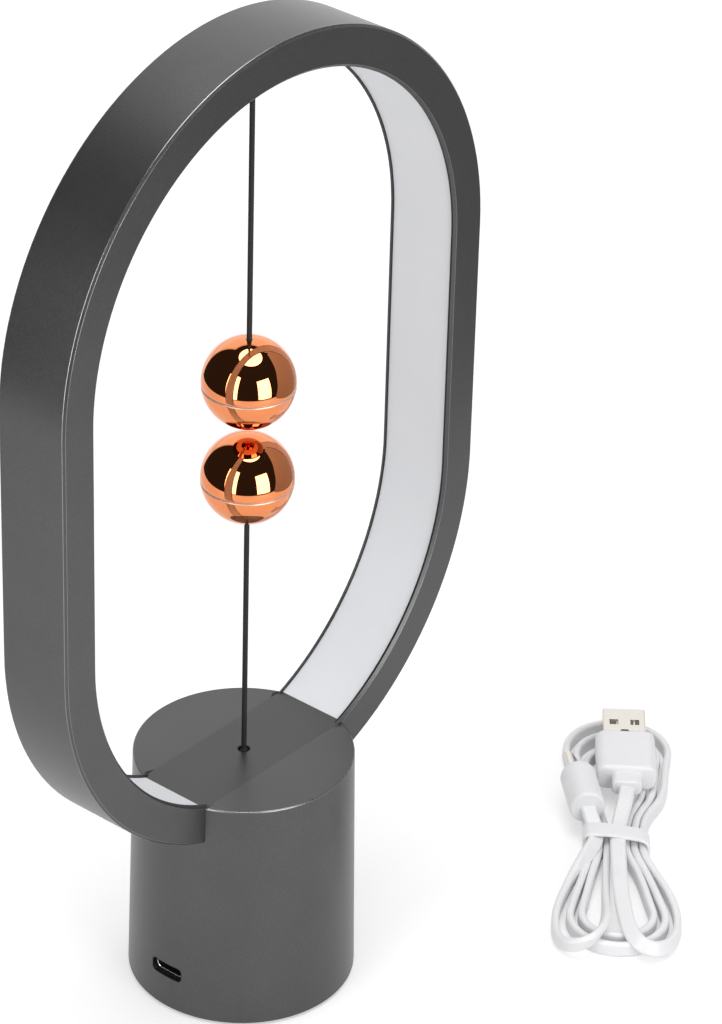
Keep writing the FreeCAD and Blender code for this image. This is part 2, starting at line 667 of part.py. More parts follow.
def hank_outline(top, bottom, waist, half_waist):
    """Peanut outline: two lobes, each given as (x, y, radius), drawn in by the tie between them."""
    edges, right, left = [], Vector(half_waist, waist[0], 0), Vector(half_waist, waist[1], 0)
    low_left, low_right = Vector(-half_waist, waist[1], 0), Vector(-half_waist, waist[0], 0)
    for lobe, start, end, turn in ((top, right, left, -1), (bottom, low_left, low_right, -1)):
        centre, radius = Vector(lobe[0], lobe[1], 0), lobe[2]
        first, last = tangent_from(centre, radius, start, turn), tangent_from(centre, radius, end, -turn)
        crown = centre + Vector(math.copysign(radius, lobe[0]), 0, 0)
        edges += [Part.LineSegment(start, first).toShape(), Part.Arc(first, crown, last).toShape(),
                  Part.LineSegment(last, end).toShape()]
        edges.append(Part.LineSegment(end, low_left if lobe is top else right).toShape())
    return Part.Face(Part.Wire(edges))


def cable_hank():
    """Closed outer shape of the wound cable, with a second layer below the tie."""
    slab = hank_outline(top_lobe, bottom_lobe, bundle, tie_half + 1.0).extrude(Vector(0, 0, hank_layer))
    x, y, radius = bottom_lobe
    end = rounded_block(x - radius - 0.1, x + 6.0, y - radius, y + radius, 0, hank_layer, bottom_corner)
    second = hank_outline(inner_loop, (x, y, radius - 1), bundle, tie_half)
    second = second.extrude(Vector(0, 0, upper_layer)).translated(Vector(0, 0, hank_layer))
    second = second.cut(block(tie_half + 1.0, 40, -20, 20, 0, 20))
    whole = union([slab, end, second])
    neck = block(-tie_half, tie_half, *bundle, tie_thickness, bundle_top)
    collar = block(-tie_half, tie_half, -30, 30, -1, 20).cut(neck)
    return whole.cut(collar)


def cable_tie():
    right, left = bundle
    outer = rounded_block(-tie_half + 0.02, tie_half - 0.02, right - tie_thickness, left + tie_thickness,
                          0, bundle_top + tie_thickness, 1.6, "X")
    return outer.cut(block(-5, 5, right - 0.02, left + 0.02, tie_thickness - 0.02, bundle_top + 0.02))


def flat_lead(x0, y0, z0, x1, y1, z1):
    """Short slanting run of the flat cable from a plug down to the bundle."""
    section = rounded_block(x0 - 1, x0, y0 - cable_width / 2, y0 + cable_width / 2,
                            z0 - cable_thickness / 2, z0 + cable_thickness / 2, 0.9, "X")
    end = max(section.Faces, key=lambda face: face.CenterOfMass.x)
    return end.extrude(Vector(x1 - x0, y1 - y0, z1 - z0))


def usb_a_plug():
    y, z = a_axis
    neck_end, grip, grip_end, tip = a_end, 24.5, 43.0, 56.0
    grip_body = rounded_block(grip, grip_end, y - 8.35, y + 8.35, z - 3.88, z + 3.88, 1.6, "X")
    rims = [e for e in grip_body.Edges if abs(e.BoundBox.XMax - e.BoundBox.XMin) < 1e-6]
    grip_body = grip_body.makeChamfer(0.6, rims)
    neck = rounded_block(neck_end, grip + 1, y - 4.2, y + 4.2, z - 2.2, z + 2.2, 1.2, "X")
    shell = rounded_block(grip_end - 3, tip, y - 6.0, y + 6.0, z - 2.25, z + 2.25, 0.5, "X")
    bore = block(grip_end - 2, tip + 1, y - 5.7, y + 5.7, z - 1.95, z + 1.95)
    window = block(grip_end + 5.1, grip_end + 7.6, y - 1.25, y + 1.25, z - 3, z + 3)
    windows = [window.translated(Vector(0, side * 2.95, 0)) for side in (-1, 1)]
    tab = rounded_block(grip_end + 1.5, grip_end + 2.7, y - 1.2, y + 1.2, z + 1, z + 3, 0.55)
    tongue = block(grip_end - 1.9, tip - 1.0, y - 5.6, y + 5.6, z - 1.9, z - 0.1)
    contact = block(grip_end + 2, tip - 1.8, y - 0.5, y + 0.5, z - 0.1, z + 0.05)
    contacts = [contact.translated(Vector(0, across, 0)) for across in (-3.5, -1.0, 1.0, 3.5)]
    overmould = union([grip_body, neck]).cut(shell)
    return overmould, shell.cut([bore, tab] + windows), union([tongue] + contacts)


def usb_c_plug():
    """Round overmould and rolled shell, drawn from the cable's end along +X through the origin."""
    radius, length, reach = 5.0, 16.3, 6.6
    grip = Part.makeCylinder(radius, length, ORIGIN, X)
    grip = grip.makeChamfer(0.5, [e for e in grip.Edges if len(e.Vertexes) == 1])
    shell = rounded_block(length - 3, length + reach, -4.125, 4.125, -1.2, 1.2, 1.15, "X")
    mouth = rounded_block(length - 1, length + reach + 1, -3.85, 3.85, -0.93, 0.93, 0.9, "X")
    latch = block(length + 0.5, length + reach - 1.2, -3.0, 3.0, -0.95, -0.45)
    rolled = [s.rotated(ORIGIN, X, c_roll) for s in (shell.cut(mouth), latch, shell)]
    place = Placement(Vector(c_end, c_axis[0], c_axis[1]), Rotation(Z, c_lean))
    parts = (grip.cut(rolled[2]), rolled[0].fuse(rolled[1]).removeSplitter())
    return [moved(p, place) for p in parts]


def placed_cable(shape):
    return moved(shape, Placement(Vector(*hank_middle, 0), Rotation(Z, hank_heading)))


# --- assembly -----------------------------------------------------------------

keep("base_housing", base_housing())
keep("port_bezel", port_bezel())
keep("base_plate", base_plate())
keep("foot_pad", foot_pad())
keep("base_screws", base_screws())
keep("counterweight", counterweight())
keep("bridge_cap", bridge_cap())
keep("cord_grommet", cord_grommet())

keep("ring_frame", ring_frame())
keep("ring_diffuser", ring_diffuser())
keep("ring_saddle", ring_saddle())
keep("ring_screws", ring_screws())
keep("saddle_screws", saddle_screws())
keep("led_strip", led_strip())
keep("led_emitters", led_emitters())
keep("top_anchor", top_anchor())

keep("switch_bracket", switch_bracket())
keep("bracket_screws", bracket_screws())
keep("switch_body", switch_body())
keep("switch_pin", switch_pin())
keep("switch_lever", switch_lever())
keep("switch_button", switch_button())
for name, leads in zip(("strip_leads", "switch_leads"), wires()):
    keep(name, leads)

keep("control_board", control_board())
keep("board_screws", board_screws())
keep("board_components", board_components())
keep("usb_c_receptacle", usb_c_receptacle())
keep("usb_c_tongue", usb_c_tongue())

for name, height, cord_side, pivot in (("upper", upper_ball_height, 1, upper_pivot_height),
                                       ("lower", lower_ball_height, -1, lower_pivot_height)):
    top_shell, bottom_shell = ball_shells(height, cord_side > 0)
    keep(name + "_ball_top_shell", top_shell)
    keep(name + "_ball_bottom_shell", bottom_shell)
    keep(name + "_magnet", magnet(height, -cord_side))
    keep(name + "_cord_stop", cord_stop(height, cord_side))
    keep(name + "_bead", swivel_bead(pivot))
    keep(name + "_cord", pendulum_cord(pivot, height + cord_side * (stop_top - stop_length)))

crimp_low, crimp_high = lever_pivot_z - 2.6, lever_pivot_z - 0.35 - crimp_clearance
tail = drum(cord_radius, crimp_low - 1.0, lower_pivot_height)
keep("lower_cord_tail", tail.cut(Part.makeSphere(bead_radius + 0.05, Vector(0, 0, lower_pivot_height))))
keep("lower_cord_crimp", turned([(cord_radius, crimp_low), (1.5, crimp_low), (1.5, crimp_high - 0.5),
                                 (1.1, crimp_high), (cord_radius, crimp_high)]))

bundle_entry = tie_half + 1.0
layer_middle = hank_layer + 1.1
keep("cable_hank", placed_cable(cable_hank()))
keep("cable_tie", placed_cable(cable_tie()))
keep("cable_lead_a", placed_cable(flat_lead(a_end, *a_axis, bundle_entry, -3.6, layer_middle)))
keep("cable_lead_c", placed_cable(flat_lead(c_end - 0.1, *c_axis, bundle_entry, 4.0, layer_middle)))
for name, shape in zip(("usb_a_overmould", "usb_a_shell", "usb_a_tongue"), usb_a_plug()):
    keep(name, placed_cable(shape))
for name, shape in zip(("usb_c_overmould", "usb_c_shell"), usb_c_plug()):
    keep(name, placed_cable(shape))

os.makedirs("parts", exist_ok=True)
for name, shape in ALL.items():
    shape.exportStep("parts/" + name + ".step")
    box = shape.BoundBox
    print(f"{name:24s} solids {len(shape.Solids):3d}  volume {shape.Volume:10.1f}  valid {shape.isValid()}",
          f"x {box.XMin:7.2f} {box.XMax:7.2f}  y {box.YMin:7.2f} {box.YMax:7.2f}",
          f"z {box.ZMin:7.2f} {box.ZMax:7.2f}")
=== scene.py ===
import math

import bmesh
import bpy
import numpy
from mathutils import Matrix, Vector


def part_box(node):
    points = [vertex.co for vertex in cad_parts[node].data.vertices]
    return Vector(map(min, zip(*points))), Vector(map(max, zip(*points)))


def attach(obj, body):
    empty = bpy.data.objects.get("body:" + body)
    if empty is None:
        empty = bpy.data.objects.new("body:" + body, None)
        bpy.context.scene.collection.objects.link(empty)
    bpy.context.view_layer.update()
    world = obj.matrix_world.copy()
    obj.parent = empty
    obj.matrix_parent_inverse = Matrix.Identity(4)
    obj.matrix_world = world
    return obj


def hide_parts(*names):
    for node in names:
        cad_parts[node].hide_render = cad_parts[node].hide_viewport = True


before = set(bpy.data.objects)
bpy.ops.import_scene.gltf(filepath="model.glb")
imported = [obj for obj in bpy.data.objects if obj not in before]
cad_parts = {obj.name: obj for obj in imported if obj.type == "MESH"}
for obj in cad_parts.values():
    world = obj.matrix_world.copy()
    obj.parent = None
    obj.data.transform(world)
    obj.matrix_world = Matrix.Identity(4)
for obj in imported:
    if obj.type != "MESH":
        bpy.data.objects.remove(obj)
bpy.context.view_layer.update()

# Finishes and fine shapes of the magnetic balance lamp. Blender works in metres, the sizes below are in
# millimetres, and mm turns one into the other.

mm = 0.001


# Camera

cameraView = {
    "lens": 154.23,
    "sensor": 36,                    # width in millimetres, like the lens
    "azimuth": -50.62,               # degrees round from the front
    "elevation": 31.257,
    "roll": 1.665,
    "distance": 1088.5,
    "aimAcross": 28.28,              # the aim lies this far right of the lamp's axis
    "aimHeight": 138.51,
}


def addCamera():
    view = cameraView
    azimuth, elevation, roll = (math.radians(view[name]) for name in ("azimuth", "elevation", "roll"))
    back = Vector((math.sin(azimuth) * math.cos(elevation), -math.cos(azimuth) * math.cos(elevation),
                   math.sin(elevation)))
    level = Vector((math.cos(azimuth), math.sin(azimuth), 0))
    upright = back.cross(level)
    right = level * math.cos(roll) + upright * math.sin(roll)
    up = upright * math.cos(roll) - level * math.sin(roll)
    aim = level * view["aimAcross"] + Vector((0, 0, view["aimHeight"]))
    camera = bpy.data.objects.new("camera", bpy.data.cameras.new("camera"))
    camera.data.lens = view["lens"]
    camera.data.sensor_width = view["sensor"]
    camera.matrix_world = Matrix.Translation((aim + back * view["distance"]) * mm) @ Matrix(
        (right, up, back)).transposed().to_4x4()
    bpy.context.scene.collection.objects.link(camera)
    bpy.context.scene.camera = camera


addCamera()
print("camera placed")


# Meshes

mergeWithin = 0.0001      # mm: corners closer than this become one
hair = 0.01               # mm that stay straight between two rounded corners


def solidBox(node):
    # low and high corner of a solid, in millimetres
    low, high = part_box(node)
    return low / mm, high / mm


def softened(corners, steps):
    # closed outline of (x, y, radius): each corner turns into an arc of that radius
    points = []
    for before, corner, after in zip(corners[-1:] + corners[:-1], corners, corners[1:] + corners[:1]):
        here, radius = Vector(corner[:2]), corner[2]
        if radius == 0:
            points.append(here)
            continue
        back, on = (Vector(before[:2]) - here).normalized(), (Vector(after[:2]) - here).normalized()
        half = back.angle(on) / 2
        centre = here + (back + on).normalized() * (radius / math.sin(half))
        arm = here + back * (radius / math.tan(half)) - centre
        turn = -math.copysign(math.pi - 2 * half, back.x * on.y - back.y * on.x)
        points += [centre + Matrix.Rotation(turn * k / steps, 2) @ arm for k in range(steps + 1)]
    return points


def roundedBox(low, high, radius, steps):
    # outline of the rectangle between two corners, with its own corners rounded
    (left, bottom), (right, top) = low, high
    radius = min(radius, (right - left) / 2 - hair, (top - bottom) / 2 - hair)
    return softened([(left, bottom, radius), (right, bottom, radius), (right, top, radius),
                     (left, top, radius)], steps)


def circle(radius, steps, height=0):
    # points round the upright axis
    turns = [2 * math.pi * k / steps for k in range(steps)]
    return [Vector((radius * math.cos(a), radius * math.sin(a), height)) for a in turns]


def newObject(name, vertices, faces, material):
    mesh = bpy.data.meshes.new(name)
    mesh.from_pydata([Vector(v) * mm for v in vertices], [], faces)
    mesh.materials.append(material)
    piece = bpy.data.objects.new(name, mesh)
    bpy.context.scene.collection.objects.link(piece)
    return piece


def makePiece(name, vertices, faces, material, body="lamp", sharpAngle=35):
    # smooth piece that moves with its body, creased where faces meet at more than the sharp angle
    piece = newObject(name, vertices, faces, material)
    mesh = piece.data
    shell = bmesh.new()
    shell.from_mesh(mesh)
    bmesh.ops.remove_doubles(shell, verts=shell.verts, dist=mergeWithin * mm)
    bmesh.ops.recalc_face_normals(shell, faces=shell.faces)
    shell.to_mesh(mesh)
    shell.free()
    mesh.shade_smooth()
    mesh.set_sharp_from_angle(angle=math.radians(sharpAngle))
    flatten = piece.modifiers.new("flatFacesStayFlat", "WEIGHTED_NORMAL")
    flatten.keep_sharp = True
    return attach(piece, body)


def paintFaces(piece, material, chosen):
    # another finish on the faces that chosen(middle, normal) picks, middle in millimetres
    piece.data.materials.append(material)
    added = len(piece.data.materials) - 1
    for face in piece.data.polygons:
        if chosen(face.center / mm, face.normal):
            face.material_index = added


def stitchRings(rings, closed=False):
    # faces between rings of equally many points; an open row of rings gets a face at each end
    count = len(rings[0])
    vertices = [point for ring in rings for point in ring]
    faces = []
    for k in range(len(rings) if closed else len(rings) - 1):
        low, high = k * count, (k + 1) % len(rings) * count
        for i in range(count):
            j = (i + 1) % count
            faces.append((low + i, low + j, high + j, high + i))
    if not closed:
        faces += [tuple(range(count)), tuple(range(len(vertices) - count, len(vertices)))]
    return vertices, faces


def turnedRings(outline, steps, middle=(0, 0, 0)):
    # the outline of (radius, height) at every step round the upright axis
    rings = []
    for k in range(steps):
        angle = 2 * math.pi * k / steps
        rings.append([Vector((r * math.cos(angle), r * math.sin(angle), z)) + Vector(middle)
                      for r, z in outline])
    return rings


def subtract(piece, rings):
    # takes the volume that the rings enclose out of the piece
    cutter = makePiece("cutter", *stitchRings(rings), piece.data.materials[0])
    cut = piece.modifiers.new("cut", "BOOLEAN")
    cut.object = cutter
    cut.solver = "EXACT"
    piece.modifiers.move(len(piece.modifiers) - 1, 0)
    bpy.context.view_layer.update()
    seen = piece.evaluated_get(bpy.context.evaluated_depsgraph_get())
    mesh = bpy.data.meshes.new_from_object(seen)
    piece.modifiers.remove(cut)
    piece.data = mesh
    bpy.data.objects.remove(cutter)


# Materials

def linearColour(hexCode):
    # sRGB hex to the linear values that shaders use
    parts = [int(hexCode[i:i + 2], 16) / 255 for i in (1, 3, 5)]
    return tuple(p / 12.92 if p <= 0.04045 else ((p + 0.055) / 1.055) ** 2.4 for p in parts) + (1.0,)


def addNode(tree, kind, sockets=None, feeds=None, **settings):
    # sockets: what each input holds, or the output that feeds it
    # feeds: the node's own output, and the node and input that it goes to
    node = tree.nodes.new(kind)
    for name, value in settings.items():
        setattr(node, name, value)
    for name, value in (sockets or {}).items():
        if isinstance(value, bpy.types.NodeSocket):
            tree.links.new(value, node.inputs[name])
        else:
            node.inputs[name].default_value = value
    if feeds:
        output, target, socket = feeds
        tree.links.new(node.outputs[output], target.inputs[socket])
    return node


def newMaterial(name, hexCode, metallic, roughness, **shaderValues):
    # the shader with its plain values, and where on the piece a point lies, in metres
    material = bpy.data.materials.new(name)
    material.use_nodes = True
    material.diffuse_color = linearColour(hexCode)
    tree = material.node_tree
    shader = tree.nodes["Principled BSDF"]
    shader.inputs["Base Color"].default_value = linearColour(hexCode)
    shader.inputs["Metallic"].default_value = metallic
    shader.inputs["Roughness"].default_value = roughness
    for socket, value in shaderValues.items():
        shader.inputs[socket.replace("_", " ")].default_value = value
    place = addNode(tree, "ShaderNodeTexCoord").outputs["Object"]
    return material, tree, shader, place


def perMetre(size):
    # texture scale for a pattern that repeats about every so many millimetres
    return 1 / (size * mm)


def addClouds(tree, shader, place, size, detail, colours=None, gloss=None, relief=None):
    # uneven pattern of about so many millimetres: it blends two colours, moves the roughness from one
    # value to another, or stands out from the surface by a depth in millimetres
    clouds = addNode(tree, "ShaderNodeTexNoise", {"Vector": place, "Scale": perMetre(size),
                                                  "Detail": detail})
    if colours:
        low, high = (linearColour(hexCode) for hexCode in colours)
        addNode(tree, "ShaderNodeMix", {0: clouds.outputs[0], 6: low, 7: high}, (2, shader, "Base Color"),
                data_type="RGBA")
    if gloss:
        low, high = gloss
        addNode(tree, "ShaderNodeMapRange", {"Value": clouds.outputs[0], "From Min": 0.3, "From Max": 0.7,
                                             "To Min": low, "To Max": high}, (0, shader, "Roughness"))
    if relief:
        depth, strength = relief
        addNode(tree, "ShaderNodeBump", {"Height": clouds.outputs[0], "Distance": depth * mm,
                                         "Strength": strength}, (0, shader, "Normal"))


lacquer = {
    "dark": "#4F4F50", "light": "#5A5A5B",
    # shadeDark and shadeLight: the same lacquer painted darker, as painted shade on the bridge cap, its ends
    # and the lips' chamfers
    "shadeDark": "#484849", "shadeLight": "#525253",
    # edge and brightHighlight: the lighter tones of the painted highlight on rounded edges
    "edge": "#6C6C6E", "brightHighlight": "#868688",
    "metallic": 0.85, "roughness": 0.36,
    "flakeShare": 0.8, "cloudShare": 0.2, "toneLift": 0.1,      # what makes up the pattern of the tone
}


def lacqueredAluminium(name, dark, light):
    # cast aluminium under sprayed grey metallic lacquer: satin, with fine flake and a slight orange peel.
    # The flake is really about 0.05 mm, and is drawn at 0.35 mm so that it shows.
    rough = lacquer["roughness"]
    material, tree, shader, place = newMaterial(name, dark, lacquer["metallic"], rough)
    flake = addNode(tree, "ShaderNodeTexNoise", {"Vector": place, "Scale": perMetre(0.35), "Detail": 2.0,
                                                 "Roughness": 0.6})
    cloud = addNode(tree, "ShaderNodeTexNoise", {"Vector": place, "Scale": perMetre(14.0), "Detail": 2.0})
    fine = addNode(tree, "ShaderNodeMath", {0: flake.outputs[0], 1: lacquer["flakeShare"],
                                            2: lacquer["toneLift"]}, operation="MULTIPLY_ADD")
    both = addNode(tree, "ShaderNodeMath", {0: cloud.outputs[0], 1: lacquer["cloudShare"],
                                            2: fine.outputs[0]}, operation="MULTIPLY_ADD")
    tone = addNode(tree, "ShaderNodeMapRange", {"Value": both.outputs[0], "From Min": 0.42,
                                                "From Max": 0.78})
    addNode(tree, "ShaderNodeMix", {0: tone.outputs[0], 6: linearColour(dark), 7: linearColour(light)},
            (2, shader, "Base Color"), data_type="RGBA")
    addNode(tree, "ShaderNodeMapRange", {"Value": flake.outputs[0], "From Min": 0.3, "From Max": 0.7,
                                         "To Min": rough - 0.03, "To Max": rough + 0.05},
            (0, shader, "Roughness"))
    addClouds(tree, shader, place, 0.7, 1.0, relief=(0.03, 0.35))
    return material


def thinLacquerEdge():
    # painted highlight: a lighter, shinier lacquer on the narrow rounded edges draws them as bright lines
    material, tree, shader, place = newMaterial("thinLacquerEdge", lacquer["edge"], 0.9, 0.3)
    addClouds(tree, shader, place, 5.0, 3.0, (lacquer["edge"], lacquer["brightHighlight"]), gloss=(0.34, 0.24))
    return material


def opalAcrylic():
    # cast opal acrylic with a satin face: white, softly see-through at the skin, no sharp reflection
    material, tree, shader, place = newMaterial(
        "opalAcrylic", "#E5E7EA", 0.0, 0.5, IOR=1.49, Subsurface_Weight=0.2, Subsurface_Scale=0.002,
        Subsurface_Radius=(1.0, 1.0, 0.9))
    addClouds(tree, shader, place, 25.0, 3.0, ("#E1E4E8", "#E8EAED"))
    addClouds(tree, shader, place, 0.4, 2.0, relief=(0.01, 0.2))
    return material


def platedCopper():
    # polished steel ball under bright copper plate: a clean warm mirror with the faintest polishing haze
    material, tree, shader, place = newMaterial("platedCopper", "#E38B5A", 1.0, 0.03)
    haze = addNode(tree, "ShaderNodeTexNoise", {"Vector": place, "Scale": perMetre(6.0), "Detail": 4.0})
    addNode(tree, "ShaderNodeMapRange", {"Value": haze.outputs[0], "From Min": 0.3, "From Max": 0.75,
                                         "To Min": 0.015, "To Max": 0.045}, (0, shader, "Roughness"))
    return material


def burnishedSeam():
    # painted highlight: the rim of each shell is painted pale, warm and bright, where the rounded seam
    # catches the light
    material, tree, shader, place = newMaterial("burnishedSeam", "#EBC7B4", 0.55, 0.4)
    addClouds(tree, shader, place, 2.0, 3.0, ("#DFA98D", "#F3DACB"))
    return material


def braidedPolyester():
    # tight braid of dyed polyester yarn: deep black, matt, with a soft sheen on the yarn's crowns
    material, tree, shader, place = newMaterial("braidedPolyester", "#0C0C0D", 0.0, 0.78, IOR=1.5,
                                                Sheen_Weight=0.08, Sheen_Roughness=0.4)
    addClouds(tree, shader, place, 0.15, 2.0, ("#070708", "#151516"), relief=(0.03, 0.4))
    return material


def mouldedJacket():
    # extruded and moulded white thermoplastic elastomer: satin, slightly soft, clouded by a few per cent
    material, tree, shader, place = newMaterial("whiteElastomer", "#ECECEE", 0.0, 0.42, IOR=1.5,
                                                Subsurface_Weight=0.12, Subsurface_Scale=0.001)
    addClouds(tree, shader, place, 9.0, 3.0, ("#E8E8EB", "#F0F0F1"))
    addClouds(tree, shader, place, 0.25, 2.0, relief=(0.01, 0.3))
    return material


hankPlace = {"heading": 39.0, "middle": (103.0, -45.0)}      # where the wound cable lies, as its solids do


def drawnNickel():
    # deep-drawn steel under bright nickel: metal sheen with fine lengthwise drawing lines.
    # The lines are really about 0.02 mm apart, and are drawn at 0.12 mm so that they show.
    material, tree, shader, place = newMaterial("nickelPlate", "#CFCBC4", 1.0, 0.2)
    turned = addNode(tree, "ShaderNodeMapping", {"Vector": place,
                                                 "Rotation": (0, 0, math.radians(-hankPlace["heading"]))})
    stretched = addNode(tree, "ShaderNodeMapping", {"Vector": turned.outputs[0], "Scale": (0.04, 1, 1)})
    addClouds(tree, shader, stretched.outputs[0], 0.12, 3.0, gloss=(0.14, 0.3), relief=(0.003, 0.3))
    return material


def mouldedPlastic(name, hexCode, roughness, ior=1.53, grain=0.3):
    # injection-moulded part from a spark-eroded mould: even colour, fine matt grain
    material, tree, shader, place = newMaterial(name, hexCode, 0.0, roughness, IOR=ior)
    addClouds(tree, shader, place, grain, 3.0, gloss=(roughness - 0.07, roughness + 0.07),
              relief=(0.02, 0.35))
    return material


def machinedMetal(name, hexCode, roughness, cutWidth):
    # zinc-plated or turned metal: bright, with tool marks that follow the cut
    material, tree, shader, place = newMaterial(name, hexCode, 1.0, roughness)
    marks = addNode(tree, "ShaderNodeTexWave", {"Vector": place, "Scale": perMetre(cutWidth) / 20,
                                                "Distortion": 1.5, "Detail": 2.0},
                    wave_type="RINGS", rings_direction="Z")
    addClouds(tree, shader, place, 1.6, 4.0, gloss=(roughness - 0.08, roughness + 0.1))
    addNode(tree, "ShaderNodeBump", {"Height": marks.outputs[0], "Distance": 0.01 * mm, "Strength": 0.3},
            (0, shader, "Normal"))
    return material


def printedBoard():
    # epoxy glass laminate under solder mask: dark green, faint weave 0.4 mm apart, buried copper tracks
    material, tree, shader, place = newMaterial("solderMaskedLaminate", "#1F5138", 0.0, 0.35, IOR=1.52)
    weave = addNode(tree, "ShaderNodeTexChecker", {"Vector": place, "Scale": perMetre(0.4)})
    addNode(tree, "ShaderNodeTexBrick", {"Vector": place, "Scale": perMetre(2.4),
                                         "Color1": linearColour("#1C4A33"),
                                         "Color2": linearColour("#235A3E"),
                                         "Mortar": linearColour("#2D7350"), "Mortar Size": 0.06},
            ("Color", shader, "Base Color"))
    addNode(tree, "ShaderNodeBump", {"Height": weave.outputs["Fac"], "Distance": 0.01 * mm, "Strength": 0.2},
            (0, shader, "Normal"))
    return material


def phosphorChip():
    # silicone filled with yellow phosphor over each light emitter, unlit
    material, tree, shader, place = newMaterial("phosphorSilicone", "#E3C65A", 0.0, 0.45, IOR=1.43,
                                                Subsurface_Weight=0.2, Subsurface_Scale=0.0005)
    specks = addNode(tree, "ShaderNodeTexVoronoi", {"Vector": place, "Scale": perMetre(0.2)})
    addNode(tree, "ShaderNodeMix", {0: specks.outputs["Distance"], 6: linearColour("#E8CC62"),
                                    7: linearColour("#D6B54A")}, (2, shader, "Base Color"), data_type="RGBA")
    return material


finishes = {
    "lacquer": lacqueredAluminium("lacqueredAluminium", lacquer["dark"], lacquer["light"]),
    "shadeLacquer": lacqueredAluminium("lacquerPaintedShade", lacquer["shadeDark"], lacquer["shadeLight"]),
    "highlightEdge": thinLacquerEdge(),
    "opal": opalAcrylic(),
    "copper": platedCopper(),
    "seam": burnishedSeam(),
    "braid": braidedPolyester(),
    "jacket": mouldedJacket(),
    "nickel": drawnNickel(),
    "blackPlastic": mouldedPlastic("blackMouldedABS", "#0E0E0F", 0.42),
    # black port plastic, which also paints the socket's steel shell dark behind its mouth as painted shade
    "portPlasticAndShade": mouldedPlastic("blackPortABS", "#161618", 0.36),
    "rubber": mouldedPlastic("greySiliconeRubber", "#2E2E30", 0.7, 1.43, 0.5),
    # near-black finish of the lips' inner walls: painted shade in the narrow recess beside the opal cover
    "lipPaintedShade": mouldedPlastic("nearBlackPaintedShade", "#101011", 0.6, 1.43, 0.5),
    "contactPlastic": mouldedPlastic("whiteGlassFilledNylon", "#DAD8D2", 0.45),
    "buttonPlastic": mouldedPlastic("ivoryAcetal", "#D9D2C0", 0.38, 1.48),
    "leadSleeve": mouldedPlastic("redSleevedPVC", "#8E2A26", 0.4, 1.53, 0.6),
    "packageEpoxy": mouldedPlastic("mouldedEpoxyPackage", "#232326", 0.5, 1.55),
    "zinc": machinedMetal("brightZincSteel", "#B9BBBD", 0.3, 0.3),
    "magnet": machinedMetal("nickelCoatedMagnet", "#BDB9B0", 0.16, 0.5),
    "board": printedBoard(),
    "phosphor": phosphorChip(),
}
print("materials made:", len(finishes))


# Cords

strands = {                          # mm along the hank, x towards the plugs and y to the left
    "right": (-7.7, -5.45, -3.2),    # y of the strands under the tie, from the outside in
    "left": (6.3, 4.05, 1.8),
    "topLoops": ((59.4, -2.2, 14.3), (53.6, -2.0, 11.3), (46.0, -1.6, 8.3)),    # crown, middle, radius
    "bottomLoops": ((46.0, -0.2, 12.8), (41.8, -0.2, 9.6)),
    "topNeck": 0.86,                 # half width of a turn where its loop begins, in radii
    "bottomNeck": 0.66,
    "loopSweep": 114,                # degrees to each side of a loop's crown
    "loopPoints": 9,
    "rest": 2.2,                     # height of the line where the cable stands on its edge
    "tieLift": 0.9,                  # how much higher it lies under the tie
    "besideTie": 0.5,                # and just beside it
    "smoothness": 5,                 # points of the line to one of the route
    "width": 4.4,
    "thickness": 2.1,
    "corner": 0.95,
    "length": 805.0,
}


def endLoop(crown, middle, radius, side):
    # points round one end of a turn, just outside the arc so that the line runs along it
    sweep, last = math.radians(strands["loopSweep"]), strands["loopPoints"] - 1
    reach = radius / math.cos(sweep / last)
    points = []
    for k in range(last + 1):
        turn = sweep * (2 * k / last - 1)
        points.append((side * (crown - radius + reach * math.cos(turn)),
                       middle + side * reach * math.sin(turn), strands["rest"], 0))
    return points


